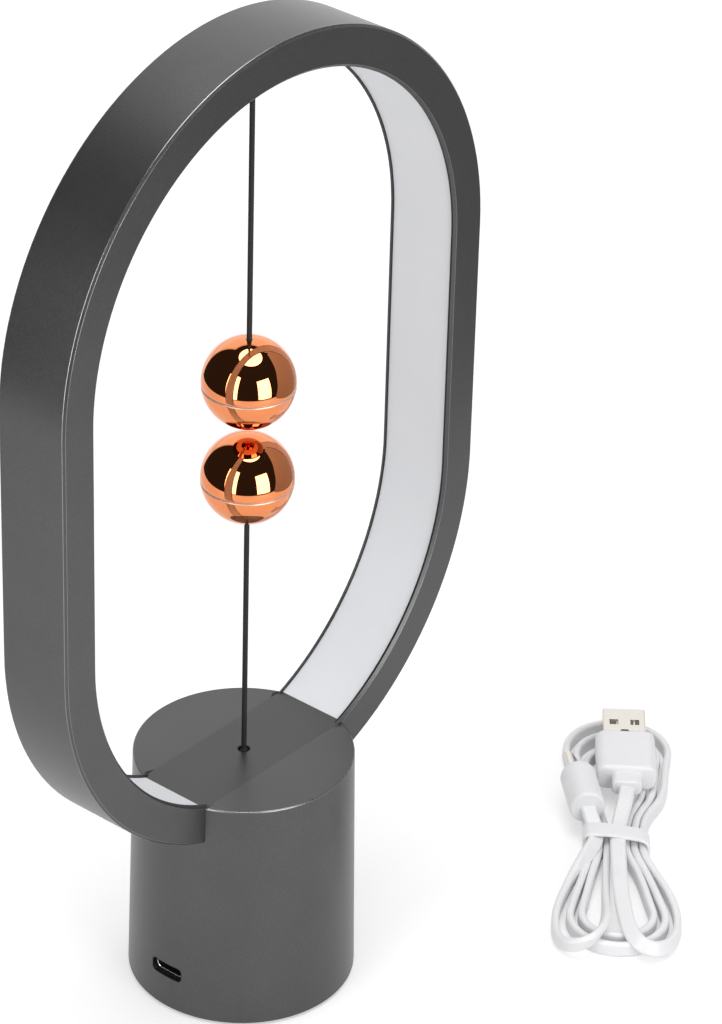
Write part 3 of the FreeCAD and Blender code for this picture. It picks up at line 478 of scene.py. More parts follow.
def hankRoute():
    # (x, y, z, roll): roll 0 where the flat cable stands on its edge, 90 where it lies flat
    rest, lifted = strands["rest"], strands["rest"] + strands["tieLift"]
    half = rest + strands["besideTie"]
    topNeck, bottomNeck = strands["topNeck"], strands["bottomNeck"]
    route = [(19.7, -4, 8.4, 90), (14, -3.4, 8.1, 90), (7.5, -1.9, 6.9, 90), (2.5, -1.1, 6.4, 90),
             (-3, -0.9, 6.4, 90), (-12, -0.9, 6, 90), (-22, -1, 5.8, 86), (-32, -1.6, 5.8, 80),
             (-41, -2.6, 5.8, 70), (-47, -5, 5.3, 50), (-48.6, -9, 4.1, 28), (-45.6, -13.4, 2.9, 12),
             (-39, -16, 2.3, 3), (-31, -16.4, rest, 0), (-22, -14.6, rest, 0), (-13, -11.2, rest, 0)]
    for turn, (crown, middle, radius) in enumerate(strands["topLoops"]):
        right, left = strands["right"][turn], strands["left"][turn]
        route += [(-5.5, right - 0.4, half, 0), (0, right, lifted, 0), (5.5, right - 0.4, half, 0),
                  (14, right - 1.6, rest, 0), (23, middle - radius * topNeck, rest, 0)]
        route += endLoop(crown, middle, radius, 1)
        route += [(23, middle + radius * topNeck, rest, 0), (14, left * 0.9 + 1.4, rest, 0),
                  (5.5, left + 0.2, half, 0), (0, left, lifted, 0), (-5.5, left + 0.2, half, 0)]
        if turn < len(strands["bottomLoops"]):
            crown, middle, radius = strands["bottomLoops"][turn]
            route.append((-13, middle + radius * bottomNeck, rest, 0))
            route += endLoop(crown, middle, radius, -1)
            route.append((-13, middle - radius * bottomNeck, rest, 0))
    return route + [(-13, 2.4, rest, 0), (-22, 2.7, 2.3, 0), (-30, 2.9, 3.6, 8), (-36.5, 3.2, 5.6, 20),
                    (-42.5, 4.2, 6.2, 25), (-47.2, 7, 6, 20), (-48.6, 11.6, 4.6, 10), (-45, 15.6, 3, 3),
                    (-38, 16.8, 2.3, 0), (-30, 16.2, rest, 0), (-21, 13.6, 2.4, 0), (-13.5, 10.6, 4, 10),
                    (-7, 6.8, 5.9, 40), (-2.5, 5, 6.4, 75), (2.5, 5.1, 6.6, 90), (6.4, 6.7, 9.1, 90),
                    (9, 7.35, 9.6, 90)]


def onHank(point):
    # from the hank's own axes to the lamp's, both in millimetres
    turn = Matrix.Rotation(math.radians(hankPlace["heading"]), 3, "Z")
    return turn @ Vector(point) + Vector((*hankPlace["middle"], 0))


def smoothLine(points):
    # the NURBS line that follows the points, read back as closely spaced points
    curve = bpy.data.curves.new("line", "CURVE")
    curve.dimensions = "3D"
    spline = curve.splines.new("NURBS")
    spline.points.add(len(points) - 1)
    for target, point in zip(spline.points, points):
        target.co = (*point, 1)
    spline.order_u = 3
    spline.use_endpoint_u = True
    spline.resolution_u = strands["smoothness"]
    carrier = bpy.data.objects.new("line", curve)
    line = bpy.data.meshes.new_from_object(carrier)
    found = [vertex.co.copy() for vertex in line.vertices]
    bpy.data.objects.remove(carrier)
    return found


def flatCable():
    route = hankRoute()
    line = smoothLine([onHank(point[:3]) for point in route])
    steps = numpy.linspace(0, len(route) - 2, len(line))
    knots = [0] + [k + 0.5 for k in range(len(route) - 2)] + [len(route) - 2]
    rolls = numpy.interp(steps, knots, [math.radians(point[3]) for point in route])
    width, thick = strands["width"] / 2, strands["thickness"] / 2
    section = roundedBox((-width, -thick), (width, thick), strands["corner"], steps=5)
    rings = []
    for k, (here, roll) in enumerate(zip(line, rolls)):
        along = (line[min(k + 1, len(line) - 1)] - line[max(k - 1, 0)]).normalized()
        side = Vector((0, 0, 1)).cross(along).normalized()
        up = along.cross(side)
        wide = up * math.cos(roll) + side * math.sin(roll)
        thin = side * math.cos(roll) - up * math.sin(roll)
        rings.append([here + wide * across + thin * out for across, out in section])
    cable = makePiece("charging_cable", *stitchRings(rings), finishes["jacket"], sharpAngle=60)
    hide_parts("cable_hank", "cable_lead_a", "cable_lead_c")
    return cable, line


braid = {
    "carriers": 7, "pitch": 5.2, "depth": 0.09,
    "rowHeight": 0.16, "around": 42,      # fineness of the mesh
    "lineParts": 20,
}


def braidedCord(node, body):
    # fourteen yarns plaited round a core, seven each way: their crowns make a diamond pattern
    low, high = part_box(node)
    radius, top, bottom = (high.x - low.x) / 2 / mm, high.z / mm, low.z / mm
    rows = round((top - bottom) / braid["rowHeight"])
    rings = []
    for row in range(rows + 1):
        z = bottom + (top - bottom) * row / rows
        ring = []
        for k in range(braid["around"]):
            angle = 2 * math.pi * k / braid["around"]
            lead = 2 * math.pi * z / braid["pitch"]
            crowns = [math.cos(braid["carriers"] * (angle + way * lead)) for way in (-1, 1)]
            r = radius - braid["depth"] * (1 - max(crowns)) / 2
            ring.append(Vector((r * math.cos(angle), r * math.sin(angle), z)))
        rings.append(ring)
    cord = makePiece("braided_" + node, *stitchRings(rings), finishes["braid"], body, sharpAngle=70)
    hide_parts(node)


cable, cableLine = flatCable()
braidedCord("upper_cord", "upper_ball")
braidedCord("lower_cord", "lower_ball")
print("cords made")


# Ring

ringEdges = {
    "thickness": 10.6,       # of the loop, from its outer face to the lips
    "edgeBevel": 0.6, "outerRound": 0.3, "frontRound": 0.16,
    "frontLip": (0.7, 1.35), "rearLip": (0.3, 0.6),     # chamfer, and depth of the opal cover's seat
    "lipRound": 0.2,         # as a share of the chamfer
    "wallRound": 0.1, "seat": 1.85, "shoulder": 1.6, "floor": 1.8,
    "step": 2.5,             # degrees between two sections of the loop
}
ringZones = {                # where each finish lies: mm from the outer or inner edge, and the faces' tilt
    "outerEdge": 1.2, "innerEdge": (0.4, 1), "flatWithin": 3,      # degrees
    "lipWall": 0.2, "wallTilt": 0.2,
    "lipChamfer": 0.8, "chamferTilt": (0.68, 0.73),
}
cover = {                    # the opal cover
    "skin": 1.2,             # its wall
    "gap": 0.05,             # clearance between the lips
    "underCap": 1.7,         # how far it reaches under the cap
    "innerRound": 0.2, "outerRound": 0.1,
    "anchorHole": 2.55,      # radius
    "holeSpare": 2,          # how far the cut runs on above and below
}
capEnd = {"clear": 0.02, "steps": 6}      # mm off the lips, and parts of the curve underneath
ringLow, ringHigh = solidBox("ring_frame")
ringReach, ringHalf = ringHigh.x, ringHigh.y
lowerCentre, upperCentre = ringLow.z + ringReach, ringHigh.z - ringReach
ringLip = ringReach - ringEdges["thickness"]
coverHigh, capHigh = solidBox("ring_diffuser")[1], solidBox("bridge_cap")[1]


def loopPlaces(start, end):
    # angles round the loop with the height of the half circle's centre; -90 is the foot, 90 the crown
    places = []
    for first, last, height in ((start, 0, lowerCentre), (0, 180, upperCentre), (180, end, lowerCentre)):
        count = max(2, round((last - first) / ringEdges["step"]))
        places += [(math.radians(first + (last - first) * k / count), height) for k in range(count + 1)]
    return places


def loopRings(section, places):
    # section of (radius, y), carried to each place
    return [[Vector((r * math.cos(angle), y, height + r * math.sin(angle))) for r, y in section]
            for angle, height in places]


def fromLoopMiddle(spot):
    # distance from the line that the loop is drawn round
    return math.hypot(spot.x, spot.z - min(max(spot.z, lowerCentre), upperCentre))


def onRingEdge(middle, normal):
    # true on the narrow rounded strips between the ring's flat faces
    tilt = math.degrees(math.asin(min(1, abs(normal.y))))
    out = fromLoopMiddle(middle)
    low, high = ringZones["innerEdge"]
    onRim = out > ringReach - ringZones["outerEdge"] or low < out - ringLip < high
    return onRim and min(abs(tilt - level) for level in (0, 45, 90)) > ringZones["flatWithin"]


def onLipWall(middle, normal):
    # true on the narrow walls that the opal cover lies between, which are painted near-black as painted
    # shade
    return (fromLoopMiddle(middle) < ringLip + ringZones["lipWall"]
            and abs(normal.y) < ringZones["wallTilt"])


def onLipChamfer(middle, normal):
    low, high = ringZones["chamferTilt"]
    return fromLoopMiddle(middle) < ringLip + ringZones["lipChamfer"] and low < abs(normal.y) < high


def ringSide(lipChamfer, seat):
    # half of the ring's section as (radius, distance from its middle plane, corner radius)
    edges, lip = ringEdges, ringLip
    bevel, wall, shoulder = edges["edgeBevel"], ringHalf - seat, ringHalf - edges["shoulder"]
    return [(ringReach, ringHalf - bevel, edges["outerRound"]),
            (ringReach - bevel, ringHalf, edges["frontRound"]),
            (lip + lipChamfer, ringHalf, edges["lipRound"] * lipChamfer),
            (lip, ringHalf - lipChamfer, edges["lipRound"] * lipChamfer), (lip, wall, edges["wallRound"]),
            (lip + edges["seat"], wall, 0), (lip + edges["seat"], shoulder, 0),
            (ringReach - edges["floor"], shoulder, 0)]


def makeRing():
    rear, front = ringSide(*ringEdges["rearLip"]), ringSide(*ringEdges["frontLip"])
    outline = softened(rear + [(r, -y, soft) for r, y, soft in reversed(front)], steps=3)
    vertices, faces = stitchRings(loopRings(outline, loopPlaces(-90, 270)[:-1]), closed=True)
    ring = makePiece("ring_channel", vertices, faces, finishes["lacquer"], sharpAngle=30)
    # the ring's narrow rounded edges carry the painted highlight
    paintFaces(ring, finishes["highlightEdge"], onRingEdge)
    # the lips' inner walls beside the opal cover are painted near-black: painted shade
    paintFaces(ring, finishes["lipPaintedShade"], onLipWall)
    # the lips' chamfers take the darker lacquer: painted shade
    paintFaces(ring, finishes["shadeLacquer"], onLipChamfer)
    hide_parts("ring_frame")


def coverSides():
    # where the opal cover ends at the rear and at the front
    rear, front = (ringHalf - ringEdges[lip][1] - cover["gap"] for lip in ("rearLip", "frontLip"))
    return rear, -front


def makeDiffuser():
    # the opal cover lies between the lips and ends out of sight under the bridge over the ring's foot
    outer = coverHigh.x
    inner = outer - cover["skin"]
    rear, front = coverSides()
    soft, hard = cover["innerRound"], cover["outerRound"]
    outline = softened([(inner, front, soft), (outer, front, hard), (outer, rear, hard),
                        (inner, rear, soft)], steps=3)
    foot = math.degrees(math.asin((capHigh.x - cover["underCap"]) / inner))
    diffuser = makePiece("opal_cover", *stitchRings(loopRings(outline, loopPlaces(foot - 90, 270 - foot))),
                         finishes["opal"])
    # hole at the crown, where the anchor of the upper cord comes through
    ends = (upperCentre + inner - cover["holeSpare"], upperCentre + outer + cover["holeSpare"])
    subtract(diffuser, [circle(cover["anchorHole"], 48, height) for height in ends])
    diffuser.data.set_sharp_from_angle(angle=math.radians(35))
    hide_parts("ring_diffuser")


def makeCapEnds():
    # thin ends of the bridge cap: they run on over the lips and between them, up to the opal cover
    inner, lip, fit = coverHigh.x - cover["skin"], ringLip - capEnd["clear"], cover["gap"]
    rear, front = coverSides()
    edge = min(capHigh.y, ringHalf)
    rearChamfer, frontChamfer = (ringEdges[name][0] for name in ("rearLip", "frontLip"))
    stations = [(-edge, lip + frontChamfer), (frontChamfer - edge, lip), (front - fit, lip), (front, inner),
                (rear, inner), (rear + fit, lip), (edge - rearChamfer, lip), (edge, lip + rearChamfer)]
    top, start, drop = capHigh.z, capHigh.x, lowerCentre - capHigh.z
    for name, side in (("left", -1), ("right", 1)):
        rings = []
        for y, radius in stations:
            reach = math.sqrt(radius ** 2 - drop ** 2)
            under = [start + (reach - start) * k / capEnd["steps"] for k in range(capEnd["steps"] + 1)]
            profile = [(start, top)] + [(x, lowerCentre - math.sqrt(radius ** 2 - x ** 2)) for x in under]
            rings.append([Vector((side * x, y, z)) for x, z in profile])
        # the cap ends take the darker lacquer: painted shade
        end = makePiece("cap_end_" + name, *stitchRings(rings), finishes["shadeLacquer"])


makeRing()
makeDiffuser()
makeCapEnds()
print("ring made")


# Base

drum = {
    "topRadius": 28.5, "bore": 26.0, "roof": 3.0, "rebate": 1.2, "plateTop": 3.0,
    "rimRound": 0.4, "footRound": 0.3, "rebateRound": 0.1,
    "steps": 180, "rows": (0.12, 0.26, 0.5, 0.72),      # extra rows up the wall, so that a cut stays local
    "capFit": 0.01, "ringFit": 0.05,      # play round the cap and the ring
    "capDepth": 4,                # how far the cap's room reaches past the ring's lips
    "arc": (-150, -30, 96),       # of both rooms, in degrees, and its steps
    "portCorner": 1.38,
    "slotSpare": 5,               # how far the cut of the port's slot runs on at both ends
    "wallZone": (0.3, 0.99),      # the turned wall: mm inside its top radius, and how squarely it faces out
    "rimZone": (0.6, 8, 82),      # painted highlight: mm below the top, and degrees of tilt
}
drumLow, drumHigh = solidBox("base_housing")


def keepWallRound(housing):
    # beside the cuts too, the drum's wall is shaded as the turned cone that it is
    seen = housing.evaluated_get(bpy.context.evaluated_depsgraph_get()).data
    normals = [corner.vector.copy() for corner in seen.corner_normals]
    slope = (drumHigh.y - drum["topRadius"]) / (drumHigh.z - drumLow.z)
    inside, facing = drum["wallZone"]
    mesh = housing.data
    for face in mesh.polygons:
        away = Vector((face.center.x, face.center.y, 0))
        if away.length / mm > drum["topRadius"] - inside and face.normal.dot(away.normalized()) > facing:
            for corner in face.loop_indices:
                spot = mesh.vertices[mesh.loops[corner].vertex_index].co
                normals[corner] = Vector((spot.x, spot.y, slope * math.hypot(spot.x, spot.y))).normalized()
    housing.modifiers.clear()
    mesh.normals_split_custom_set(normals)


def onDrumRim(middle, normal):
    # true on the rounded rim round the drum's top
    depth, least, most = drum["rimZone"]
    return middle.z > drumHigh.z - depth and least < math.degrees(normal.angle(Vector((0, 0, 1)))) < most


def cutRooms(housing):
    # rooms for the bridge cap and, below and beside it, for the ring's foot, and the charging port's slot
    start, end, steps = drum["arc"]
    arc = [math.radians(start + (end - start) * k / steps) for k in range(steps + 1)]
    half, within = capHigh.y + drum["capFit"], ringLip + drum["capDepth"]
    subtract(housing, [[Vector((within * math.cos(a), y, lowerCentre + within * math.sin(a))) for a in arc]
                       for y in (-half, half)])
    fit, bevel = drum["ringFit"], ringEdges["edgeBevel"]
    inner, reach, half = ringLip - fit, ringReach + fit, ringHalf + fit
    section = [(inner, -half), (reach - bevel, -half), (reach, bevel - half), (reach, half - bevel),
               (reach - bevel, half), (inner, half)]
    subtract(housing, loopRings(section, [(a, lowerCentre) for a in arc]))
    low, high = solidBox("port_bezel")
    slot = roundedBox((low.y, low.z), (high.y, high.z), drum["portCorner"], steps=8)
    subtract(housing, [[Vector((x, y, z)) for y, z in slot]
                       for x in (low.x - drum["slotSpare"], high.x + drum["slotSpare"])])


def makeBase():
    top, foot, bore = drumHigh.z, drumLow.z, drum["bore"]
    roof, wall, wide = top - drum["roof"], bore + drum["rebate"], drumHigh.y
    rows = [(wide + (drum["topRadius"] - wide) * share, foot + (top - foot) * share, 0)
            for share in drum["rows"]]
    outline = softened([(wall, foot, drum["rebateRound"]), (wide, foot, drum["footRound"])] + rows +
                       [(drum["topRadius"], top, drum["rimRound"]), (0, top, 0), (0, roof, 0),
                        (bore, roof, 0), (bore, drum["plateTop"], 0), (wall, drum["plateTop"], 0)], steps=6)
    rings = turnedRings(outline, drum["steps"])
    housing = makePiece("base_drum", *stitchRings(rings, closed=True), finishes["lacquer"], sharpAngle=30)
    cutRooms(housing)
    housing.data.set_sharp_from_angle(angle=math.radians(30))
    bpy.context.view_layer.update()
    keepWallRound(housing)
    # the rounded rim round the drum's top carries the painted highlight
    paintFaces(housing, finishes["highlightEdge"], onDrumRim)
    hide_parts("base_housing")


socket = {
    "wall": 0.34, "cavity": 6.35,
    "lipSteps": 5,      # round the rolled edge of its mouth
    "bareEnd": 0.1,     # mm at its rear that stay nickel, behind the inside painted dark as painted shade
}


def makeSocket():
    # drawn steel shell of the charging port with a rolled mouth, which catches the light as a thin line
    low, high = solidBox("usb_c_receptacle")
    curl, steps = socket["wall"] / 2, socket["lipSteps"]
    width, tall, middle = high.y - curl, (high.z - low.z) / 2 - curl, (low.z + high.z) / 2
    stations = [(low.x + socket["cavity"], -curl)]
    for turn in (math.pi * k / steps for k in range(steps + 1)):
        stations.append((low.x + curl - curl * math.sin(turn), -curl * math.cos(turn)))
    stations.append((high.x, curl))
    rings = []
    for x, out in stations:
        w, h = width + out, tall + out
        rings.append([Vector((x, y, middle + z)) for y, z in roundedBox((-w, -h), (w, h), h, steps=12)])
    shell = makePiece("socket_shell", *stitchRings(rings), finishes["nickel"], sharpAngle=50)
    front, rear = low.x + socket["wall"], high.x - socket["bareEnd"]
    # the shell behind its rolled mouth is painted with the black port plastic: painted shade deep in the
    # port
    paintFaces(shell, finishes["portPlasticAndShade"], lambda spot, normal: front < spot.x < rear)
    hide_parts("usb_c_receptacle")


makeBase()
makeSocket()
print("base made")


# Balls

ballShape = {
    "seamDrop": 0.8, "seamGap": 0.03, "skin": 0.9, "holeRadius": 0.82,
    "seamRound": 0.3,
    "rim": ((1, 0), (0.4, 0.4), (0.1, 1.1)),      # points inwards and along, as shares of that round
    "seamZone": (1.3, 1.15),                      # how far the painted highlight on the rim reaches, in the same shares
    "steps": 128, "arcStep": 2.0,
}


def ballShell(node, radius, middle, side, hole):
    # one plated shell from the seam to its pole; side 1 is the upper one
    seam, soft = -ballShape["seamDrop"], ballShape["seamRound"]
    inner, bore = radius - ballShape["skin"], ballShape["holeRadius"] if hole else 0
    start = math.degrees(math.asin((seam + side * ballShape["seamGap"]) / radius))
    end = side * math.degrees(math.acos(bore / radius))
    count = max(2, round(abs(end - start) / ballShape["arcStep"]))
    first, *arc = [math.radians(start + (end - start) * k / count) for k in range(count + 1)]
    edge, height = radius * math.cos(first), radius * math.sin(first)
    outline = [(edge - soft * back, height + side * soft * along) for back, along in ballShape["rim"]]
    outline += [(radius * math.cos(a), radius * math.sin(a)) for a in arc]
    outline += [(max(inner * math.cos(a), bore), inner * math.sin(a)) for a in reversed(arc)]
    outline.append((inner * math.cos(first), height))
    rings = turnedRings(outline, ballShape["steps"], (0, 0, middle))
    shell = makePiece("plated_" + node, *stitchRings(rings, closed=True), finishes["copper"],
                      node.split("_")[0] + "_ball", sharpAngle=50)
    # the rounded rim of each shell carries the painted highlight
    paintFaces(shell, finishes["seam"], lambda spot, normal: onSeam(spot, middle + seam, radius))
    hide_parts(node)


def onSeam(spot, seam, radius):
    # true on the narrow rounded rim of a shell
    within, along = (share * ballShape["seamRound"] for share in ballShape["seamZone"])
    return math.hypot(spot.x, spot.y) > radius - within and abs(spot.z - seam) < along


def makeBalls():
    for name, cordSide in (("upper", 1), ("lower", -1)):
        low, high = solidBox(name + "_ball_bottom_shell")[0], solidBox(name + "_ball_top_shell")[1]
        radius = high.x
        middle = low.z + radius if cordSide > 0 else high.z - radius
        for part, side in (("top", 1), ("bottom", -1)):
            ballShell(name + "_ball_" + part + "_shell", radius, middle, side, side == cordSide)


makeBalls()
print("balls made")


# Plugs and tie

def alongHank(stations, axis, steps, lean=0):
    # rounded bar of (distance, width, height, corner radius) stations along a plug's axis
    start = Vector(axis)
    swing = Matrix.Rotation(math.radians(lean), 3, "Z")
    rings = []
    for x, width, height, radius in stations:
        w, h = width / 2, height / 2
        outline = roundedBox((-w, -h), (w, h), radius, steps)
        rings.append([onHank(start + swing @ Vector((x, y, z))) for y, z in outline])
    return stitchRings(rings)


def barEnds(*ends):
    # stations of a bar from the place, the full size and the rounding of each of its ends
    return [(start + along, width - narrower, height - lower, corner)
            for start, (width, height), rounding in ends for along, narrower, lower, corner in rounding]


usbA = {      # places along the hank, and roundings as (along, narrower, lower, corner radius)
    "neckEnd": 19.7, "grip": 24.5, "gripEnd": 43.0, "y": -4.0, "z": 8.4,
    "neckSize": (8.4, 4.4), "gripSize": (16.7, 7.76),
    "neckRounding": ((0, 1.2, 1.0, 1.2), (0.25, 0.4, 0.3, 1.5), (0.7, 0, 0, 1.6)),
    "collar": ((-0.6, 0, 0, 1.6), (-0.15, -0.2, -0.2, 1.7), (0, -0.8, -0.6, 1.9)),
    "shoulder": ((0.05, 1.6, 1.4, 2.0), (0.35, 0.6, 0.55, 2.4), (0.8, 0.15, 0.12, 2.6), (1.3, 0, 0, 2.7)),
    "nose": ((-1.0, 0, 0, 2.7), (-0.55, 0.12, 0.1, 2.6), (-0.2, 0.5, 0.45, 2.4), (0, 1.3, 1.2, 2.0)),
}
usbC = {      # the same, with roundings as (along, narrower)
    "end": 8.0, "y": 7.2, "z": 9.5, "lean": 9.0, "radius": 5.0, "length": 16.3,
    "rear": ((0, 1.6), (0.1, 1.0), (0.4, 0.35), (0.9, 0)),
    "front": ((-0.8, 0), (-0.35, 0.3), (-0.08, 0.9), (0, 1.5)),
}
springs = {   # in the windows of the flat plug's shell, measured from its axis
    "across": (-2.8, 2.05), "ends": (48.15, 50.55), "drop": 1.62, "width": 0.42,
    "foot": (0.2, 0.08), "crest": (0.32, 0.1), "ramp": 0.4,      # height and corner radius of each part
}


def makeFlatGrip():
    a = usbA
    neck, size = a["neckSize"], a["gripSize"]
    stations = barEnds((a["neckEnd"], neck, a["neckRounding"]), (a["grip"], neck, a["collar"]),
                       (a["grip"], size, a["shoulder"]), (a["gripEnd"], size, a["nose"]))
    grip = makePiece("usb_a_grip", *alongHank(stations, (0, a["y"], a["z"]), 8), finishes["jacket"],
                     sharpAngle=40)
    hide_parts("usb_a_overmould")


def makeSprings():
    # crest of the holding spring behind each window of the shell
    (start, end), wide, ramp = springs["ends"], springs["width"], springs["ramp"]
    foot, crest = springs["foot"], springs["crest"]
    stations = [(start, wide, *foot), (start + ramp, wide, *crest), (end - ramp, wide, *crest),
                (end, wide, *foot)]
    for number, across in enumerate(springs["across"], 1):
        axis = (0, usbA["y"] + across, usbA["z"] + springs["drop"])
        spring = makePiece("usb_a_spring_" + str(number), *alongHank(stations, axis, 3), finishes["nickel"])


def makeRoundGrip():
    c = usbC
    radius = c["radius"]
    rear, front = ([(along, less, less, radius) for along, less in c[end]] for end in ("rear", "front"))
    size = (2 * radius, 2 * radius)
    stations = barEnds((0, size, rear), (c["length"], size, front))
    grip = makePiece("usb_c_grip", *alongHank(stations, (c["end"], c["y"], c["z"]), 9, c["lean"]),
                     finishes["jacket"], sharpAngle=40)
    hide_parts("usb_c_overmould")


tie = {
    "width": 5.7, "thickness": 0.85, "slant": 0.05,
    "right": -9.9, "left": 8.5, "top": 8.55,              # its outer faces round the bundle
    "crest": 1.0, "leftDrop": 0.1, "rightDrop": 1.4,      # where it is highest, and its slopes from there
    "cornerRound": 1.2, "crestRound": 6.0, "rightRound": 2.4,
    "innerEdge": 0.2, "outerEdge": 0.35,
}


def makeTie():
    # soft strap closed round the bundle: it lies over both leads and slopes down to the right
    half, thick = tie["width"] / 2, tie["thickness"]
    right, left, top = tie["right"] + thick, tie["left"] - thick, tie["top"] - thick
    corner, inside, outside = tie["cornerRound"], tie["innerEdge"], tie["outerEdge"]
    path = softened([(right, thick, corner), (left, thick, corner), (left, top - tie["leftDrop"], corner),
                     (tie["crest"], top, tie["crestRound"]),
                     (right, top - tie["rightDrop"], tie["rightRound"])], steps=7)
    profile = softened([(-half, 0, inside), (half, 0, inside), (half, thick, outside),
                        (-half, thick, outside)], steps=3)
    rings = []
    for k, here in enumerate(path):
        along = (path[(k + 1) % len(path)] - path[k - 1]).normalized()
        out = Vector((along.y, -along.x))
        rings.append([onHank((across + tie["slant"] * here.x, *(here + out * reach)))
                      for across, reach in profile])
    strap = makePiece("cable_strap", *stitchRings(rings, closed=True), finishes["jacket"], sharpAngle=40)
    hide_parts("cable_tie")


makeFlatGrip()
makeSprings()
makeRoundGrip()
makeTie()
onCable = [bpy.data.objects[name] for name in ("cable_strap", "usb_a_grip", "usb_c_grip", "usb_a_spring_1",
                                               "usb_a_spring_2")]
onCable += [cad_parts[name] for name in ("usb_a_shell", "usb_a_tongue", "usb_c_shell")]
print("plugs and tie made")


# Finishes of the pieces that keep their solid's shape

nodeFinishes = {
    # the bridge cap takes the darker lacquer: painted shade
    "shadeLacquer": ("bridge_cap",),
    "blackPlastic": ("cord_grommet", "switch_body"),
    "portPlasticAndShade": ("port_bezel", "usb_c_tongue"),
    "rubber": ("foot_pad",),
    "contactPlastic": ("usb_a_tongue",),
    "buttonPlastic": ("switch_button",),
    "leadSleeve": ("strip_leads", "switch_leads"),
    "packageEpoxy": ("board_components",),
    "zinc": ("base_plate", "base_screws", "counterweight", "ring_saddle", "ring_screws", "saddle_screws",
             "board_screws", "bracket_screws", "switch_bracket", "switch_pin", "switch_lever", "top_anchor",
             "upper_cord_stop", "lower_cord_stop", "lower_cord_crimp"),
    "magnet": ("upper_magnet", "lower_magnet"),
    "nickel": ("usb_a_shell", "usb_c_shell"),
    "board": ("control_board", "led_strip"),
    "phosphor": ("led_emitters",),
    "braid": ("lower_cord_tail", "upper_bead", "lower_bead"),
}

for finish, nodes in nodeFinishes.items():
    for node in nodes:
        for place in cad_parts[node].material_slots:
            place.material = finishes[finish]
print("carried-over pieces finished")


# Studio

studio = {
    "floorRadius": 4000, "floorSteps": 96, "floorColour": "#E8E8E8",
    "nearGlow": 0.36, "farGlow": 0.75, "glowRise": (0.25, 1.0),      # metres from the lamp
    "ambient": 0.6,
    "shellMiddle": 160,           # height of the middle of what stands round the lamp
    "windowReach": 470, "diskSteps": 64,
    "patch": 8,                   # degrees: walls and ceiling are made of patches of about this size
}
surround = (      # what the mirrors see around them: azimuths, elevations, distance and grey
    ("darkWall", (-188, 80), (-17, 54), 570, 0.028),
    ("darkCeiling", (-180, 180), (54, 90), 568, 0.028),
    ("paleWall", (92, 168), (6, 50), 566, 1.35),
)
card = {          # grey board that stands to the right: azimuth and distance of its face, and how it glows
    "azimuth": 64, "distance": 310, "low": 0.38, "high": 0.56, "riseOver": 0.5,      # metres
    "corners": ((17, 0), (86, 0), (86, 471), (71.5, 553), (49, 457), (27.5, 287), (17, 47)),
}
windows = (       # softboxes: azimuth, elevation, their width and height in degrees, brightness and shape
    ("rightWindow", -11, 8, 31, 44, 2.3, "RECTANGLE"),
    ("leftWindow", -89, 12, 29, 54, 1.65, "RECTANGLE"),
    ("ceilingWindow", 40, 87, 46, 46, 2.9, "DISK"),
)
windowGlow = 7.0  # how bright the softboxes look in a mirror


def glowMaterial(name, low, high=None):
    # one even glow, or one that rises from low to high up the card
    material = bpy.data.materials.new(name)
    material.use_nodes = True
    tree = material.node_tree
    tree.nodes.clear()
    glow = addNode(tree, "ShaderNodeEmission", {"Strength": low})
    if high is not None:
        place = addNode(tree, "ShaderNodeTexCoord").outputs["Object"]
        parts = addNode(tree, "ShaderNodeSeparateXYZ", {0: place})
        addNode(tree, "ShaderNodeMapRange", {"Value": parts.outputs[2], "From Max": card["riseOver"],
                                             "To Min": low, "To Max": high}, (0, glow, "Strength"))
    addNode(tree, "ShaderNodeOutputMaterial", {"Surface": glow.outputs[0]})
    return material


def stagePiece(name, outline, material, faces=None):
    # one flat face inside the outline, unless the faces are given
    piece = newObject(name, outline, faces or [tuple(range(len(outline)))], material)
    return piece


def mirrorOnly(piece):
    # seen in the mirror balls and the lacquer, and by nothing else
    piece.visible_camera = piece.visible_diffuse = piece.visible_shadow = False
    piece.visible_transmission = piece.visible_volume_scatter = False


def seenDirectly(tree):
    # 1 for camera, mirror and see-through rays, 0 for the rays that light the object
    path = addNode(tree, "ShaderNodeLightPath").outputs
    either = addNode(tree, "ShaderNodeMath", {0: path["Is Camera Ray"], 1: path["Is Glossy Ray"]},
                     operation="MAXIMUM")
    return addNode(tree, "ShaderNodeMath", {0: either.outputs[0], 1: path["Is Transmission Ray"]},
                   operation="MAXIMUM").outputs[0]


def floorPaper():
    # matt white studio paper: it takes the shadow, and its own glow brings it up to white
    material, tree, shader, place = newMaterial("studioPaper", studio["floorColour"], 0.0, 0.9,
                                                Specular_IOR_Level=0.0, Emission_Color=(1, 1, 1, 1))
    near, far = studio["glowRise"]
    away = addNode(tree, "ShaderNodeVectorMath", {0: place}, operation="LENGTH")
    rise = addNode(tree, "ShaderNodeMapRange", {"Value": away.outputs["Value"], "From Min": near,
                                                "From Max": far, "To Min": studio["nearGlow"],
                                                "To Max": studio["farGlow"]})
    addNode(tree, "ShaderNodeMath", {0: rise.outputs[0], 1: seenDirectly(tree)},
            (0, shader, "Emission Strength"), operation="MULTIPLY")
    return material


def makeStage():
    stagePiece("floor", circle(studio["floorRadius"], studio["floorSteps"]), floorPaper())
    for name, azimuths, elevations, distance, grey in surround:
        addSurround(name, azimuths, elevations, distance, glowMaterial(name, grey))
    corners = []
    for azimuth, height in card["corners"]:
        away = card["distance"] / math.cos(math.radians(azimuth - card["azimuth"]))
        corners.append(towards(azimuth, 0) * away + Vector((0, 0, height)))
    mirrorOnly(stagePiece("greyCard", corners, glowMaterial("greyCard", card["low"], card["high"])))


def towards(azimuth, elevation):
    a, e = math.radians(azimuth), math.radians(elevation)
    return Vector((math.sin(a) * math.cos(e), -math.cos(a) * math.cos(e), math.sin(e)))


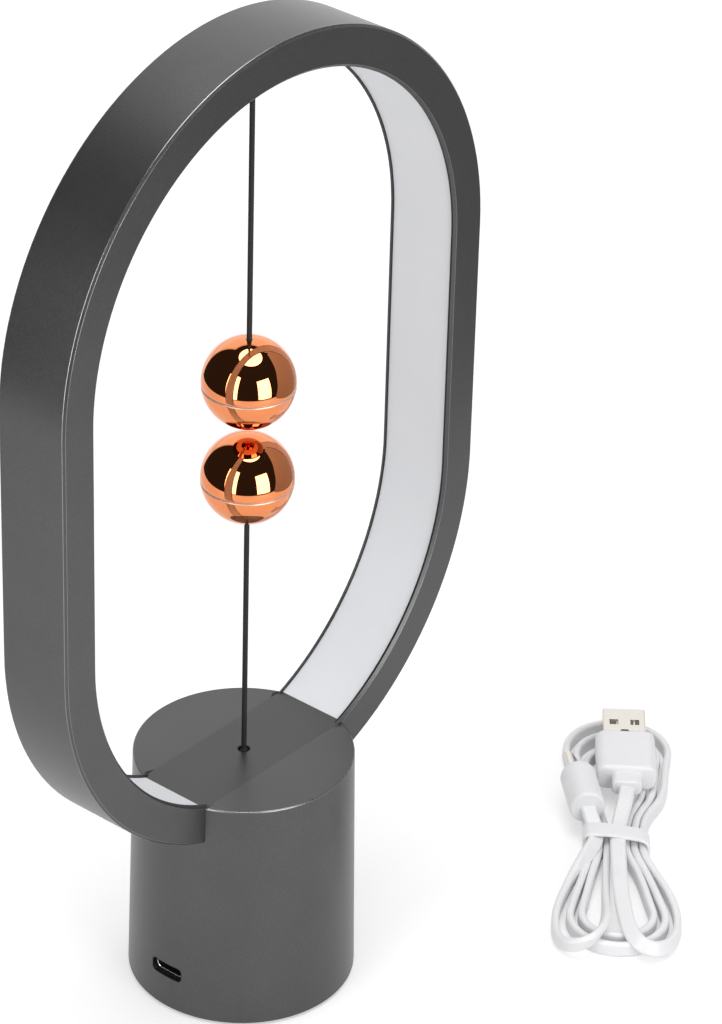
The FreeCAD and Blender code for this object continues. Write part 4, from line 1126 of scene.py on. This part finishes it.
def addSurround(name, azimuths, elevations, distance, material):
    # part of a sphere round the balls
    (left, right), (low, high) = azimuths, elevations
    across, up = (max(2, round((end - start) / studio["patch"])) for start, end in (azimuths, elevations))
    middle = Vector((0, 0, studio["shellMiddle"]))
    corners = [middle + distance * towards(left + (right - left) * i / across, low + (high - low) * k / up)
               for k in range(up + 1) for i in range(across + 1)]
    row = across + 1
    faces = [(k * row + i, k * row + i + 1, (k + 1) * row + i + 1, (k + 1) * row + i)
             for k in range(up) for i in range(across)]
    mirrorOnly(stagePiece(name, corners, material, faces))


def addLights():
    # each softbox is a lamp that lights the object and a glowing pane that its mirrors see
    middle, reach = Vector((0, 0, studio["shellMiddle"])), studio["windowReach"]
    glow = glowMaterial("windowGlow", windowGlow)
    for name, azimuth, elevation, width, height, brightness, shape in windows:
        lamp = bpy.data.lights.new(name, "AREA")
        lamp.shape = shape
        lamp.size = 2 * reach * mm * math.tan(math.radians(width / 2))
        lamp.size_y = 2 * reach * mm * math.tan(math.radians(height / 2))
        filled = math.pi / 4 if shape == "DISK" else 1
        lamp.energy = brightness * math.pi * lamp.size * lamp.size_y * filled
        holder = bpy.data.objects.new(name, lamp)
        way = towards(azimuth, elevation)
        holder.matrix_world = Matrix.Translation((middle + way * reach) * mm) @ way.to_track_quat(
            "Z", "Y").to_matrix().to_4x4()
        holder.visible_camera = holder.visible_glossy = False
        bpy.context.scene.collection.objects.link(holder)
        w, h = lamp.size / mm / 2, lamp.size_y / mm / 2
        outline = [(-w, -h, 0), (w, -h, 0), (w, h, 0), (-w, h, 0)]
        if shape == "DISK":
            outline = circle(w, studio["diskSteps"])
        pane = stagePiece(name + "Pane", outline, glow)
        pane.matrix_world = holder.matrix_world
        mirrorOnly(pane)


def addAir():
    # even white light from all round, full for what is seen directly and weaker as a light
    world = bpy.data.worlds.new("studioAir")
    world.use_nodes = True
    tree = world.node_tree
    background = tree.nodes["Background"]
    background.inputs["Color"].default_value = (1, 1, 1, 1)
    addNode(tree, "ShaderNodeMapRange", {"Value": seenDirectly(tree), "To Min": studio["ambient"],
                                         "To Max": 1.0}, (0, background, "Strength"))
    bpy.context.scene.world = world
    bpy.context.scene.view_settings.view_transform = "Standard"


makeStage()
addLights()
addAir()
print("studio lit")
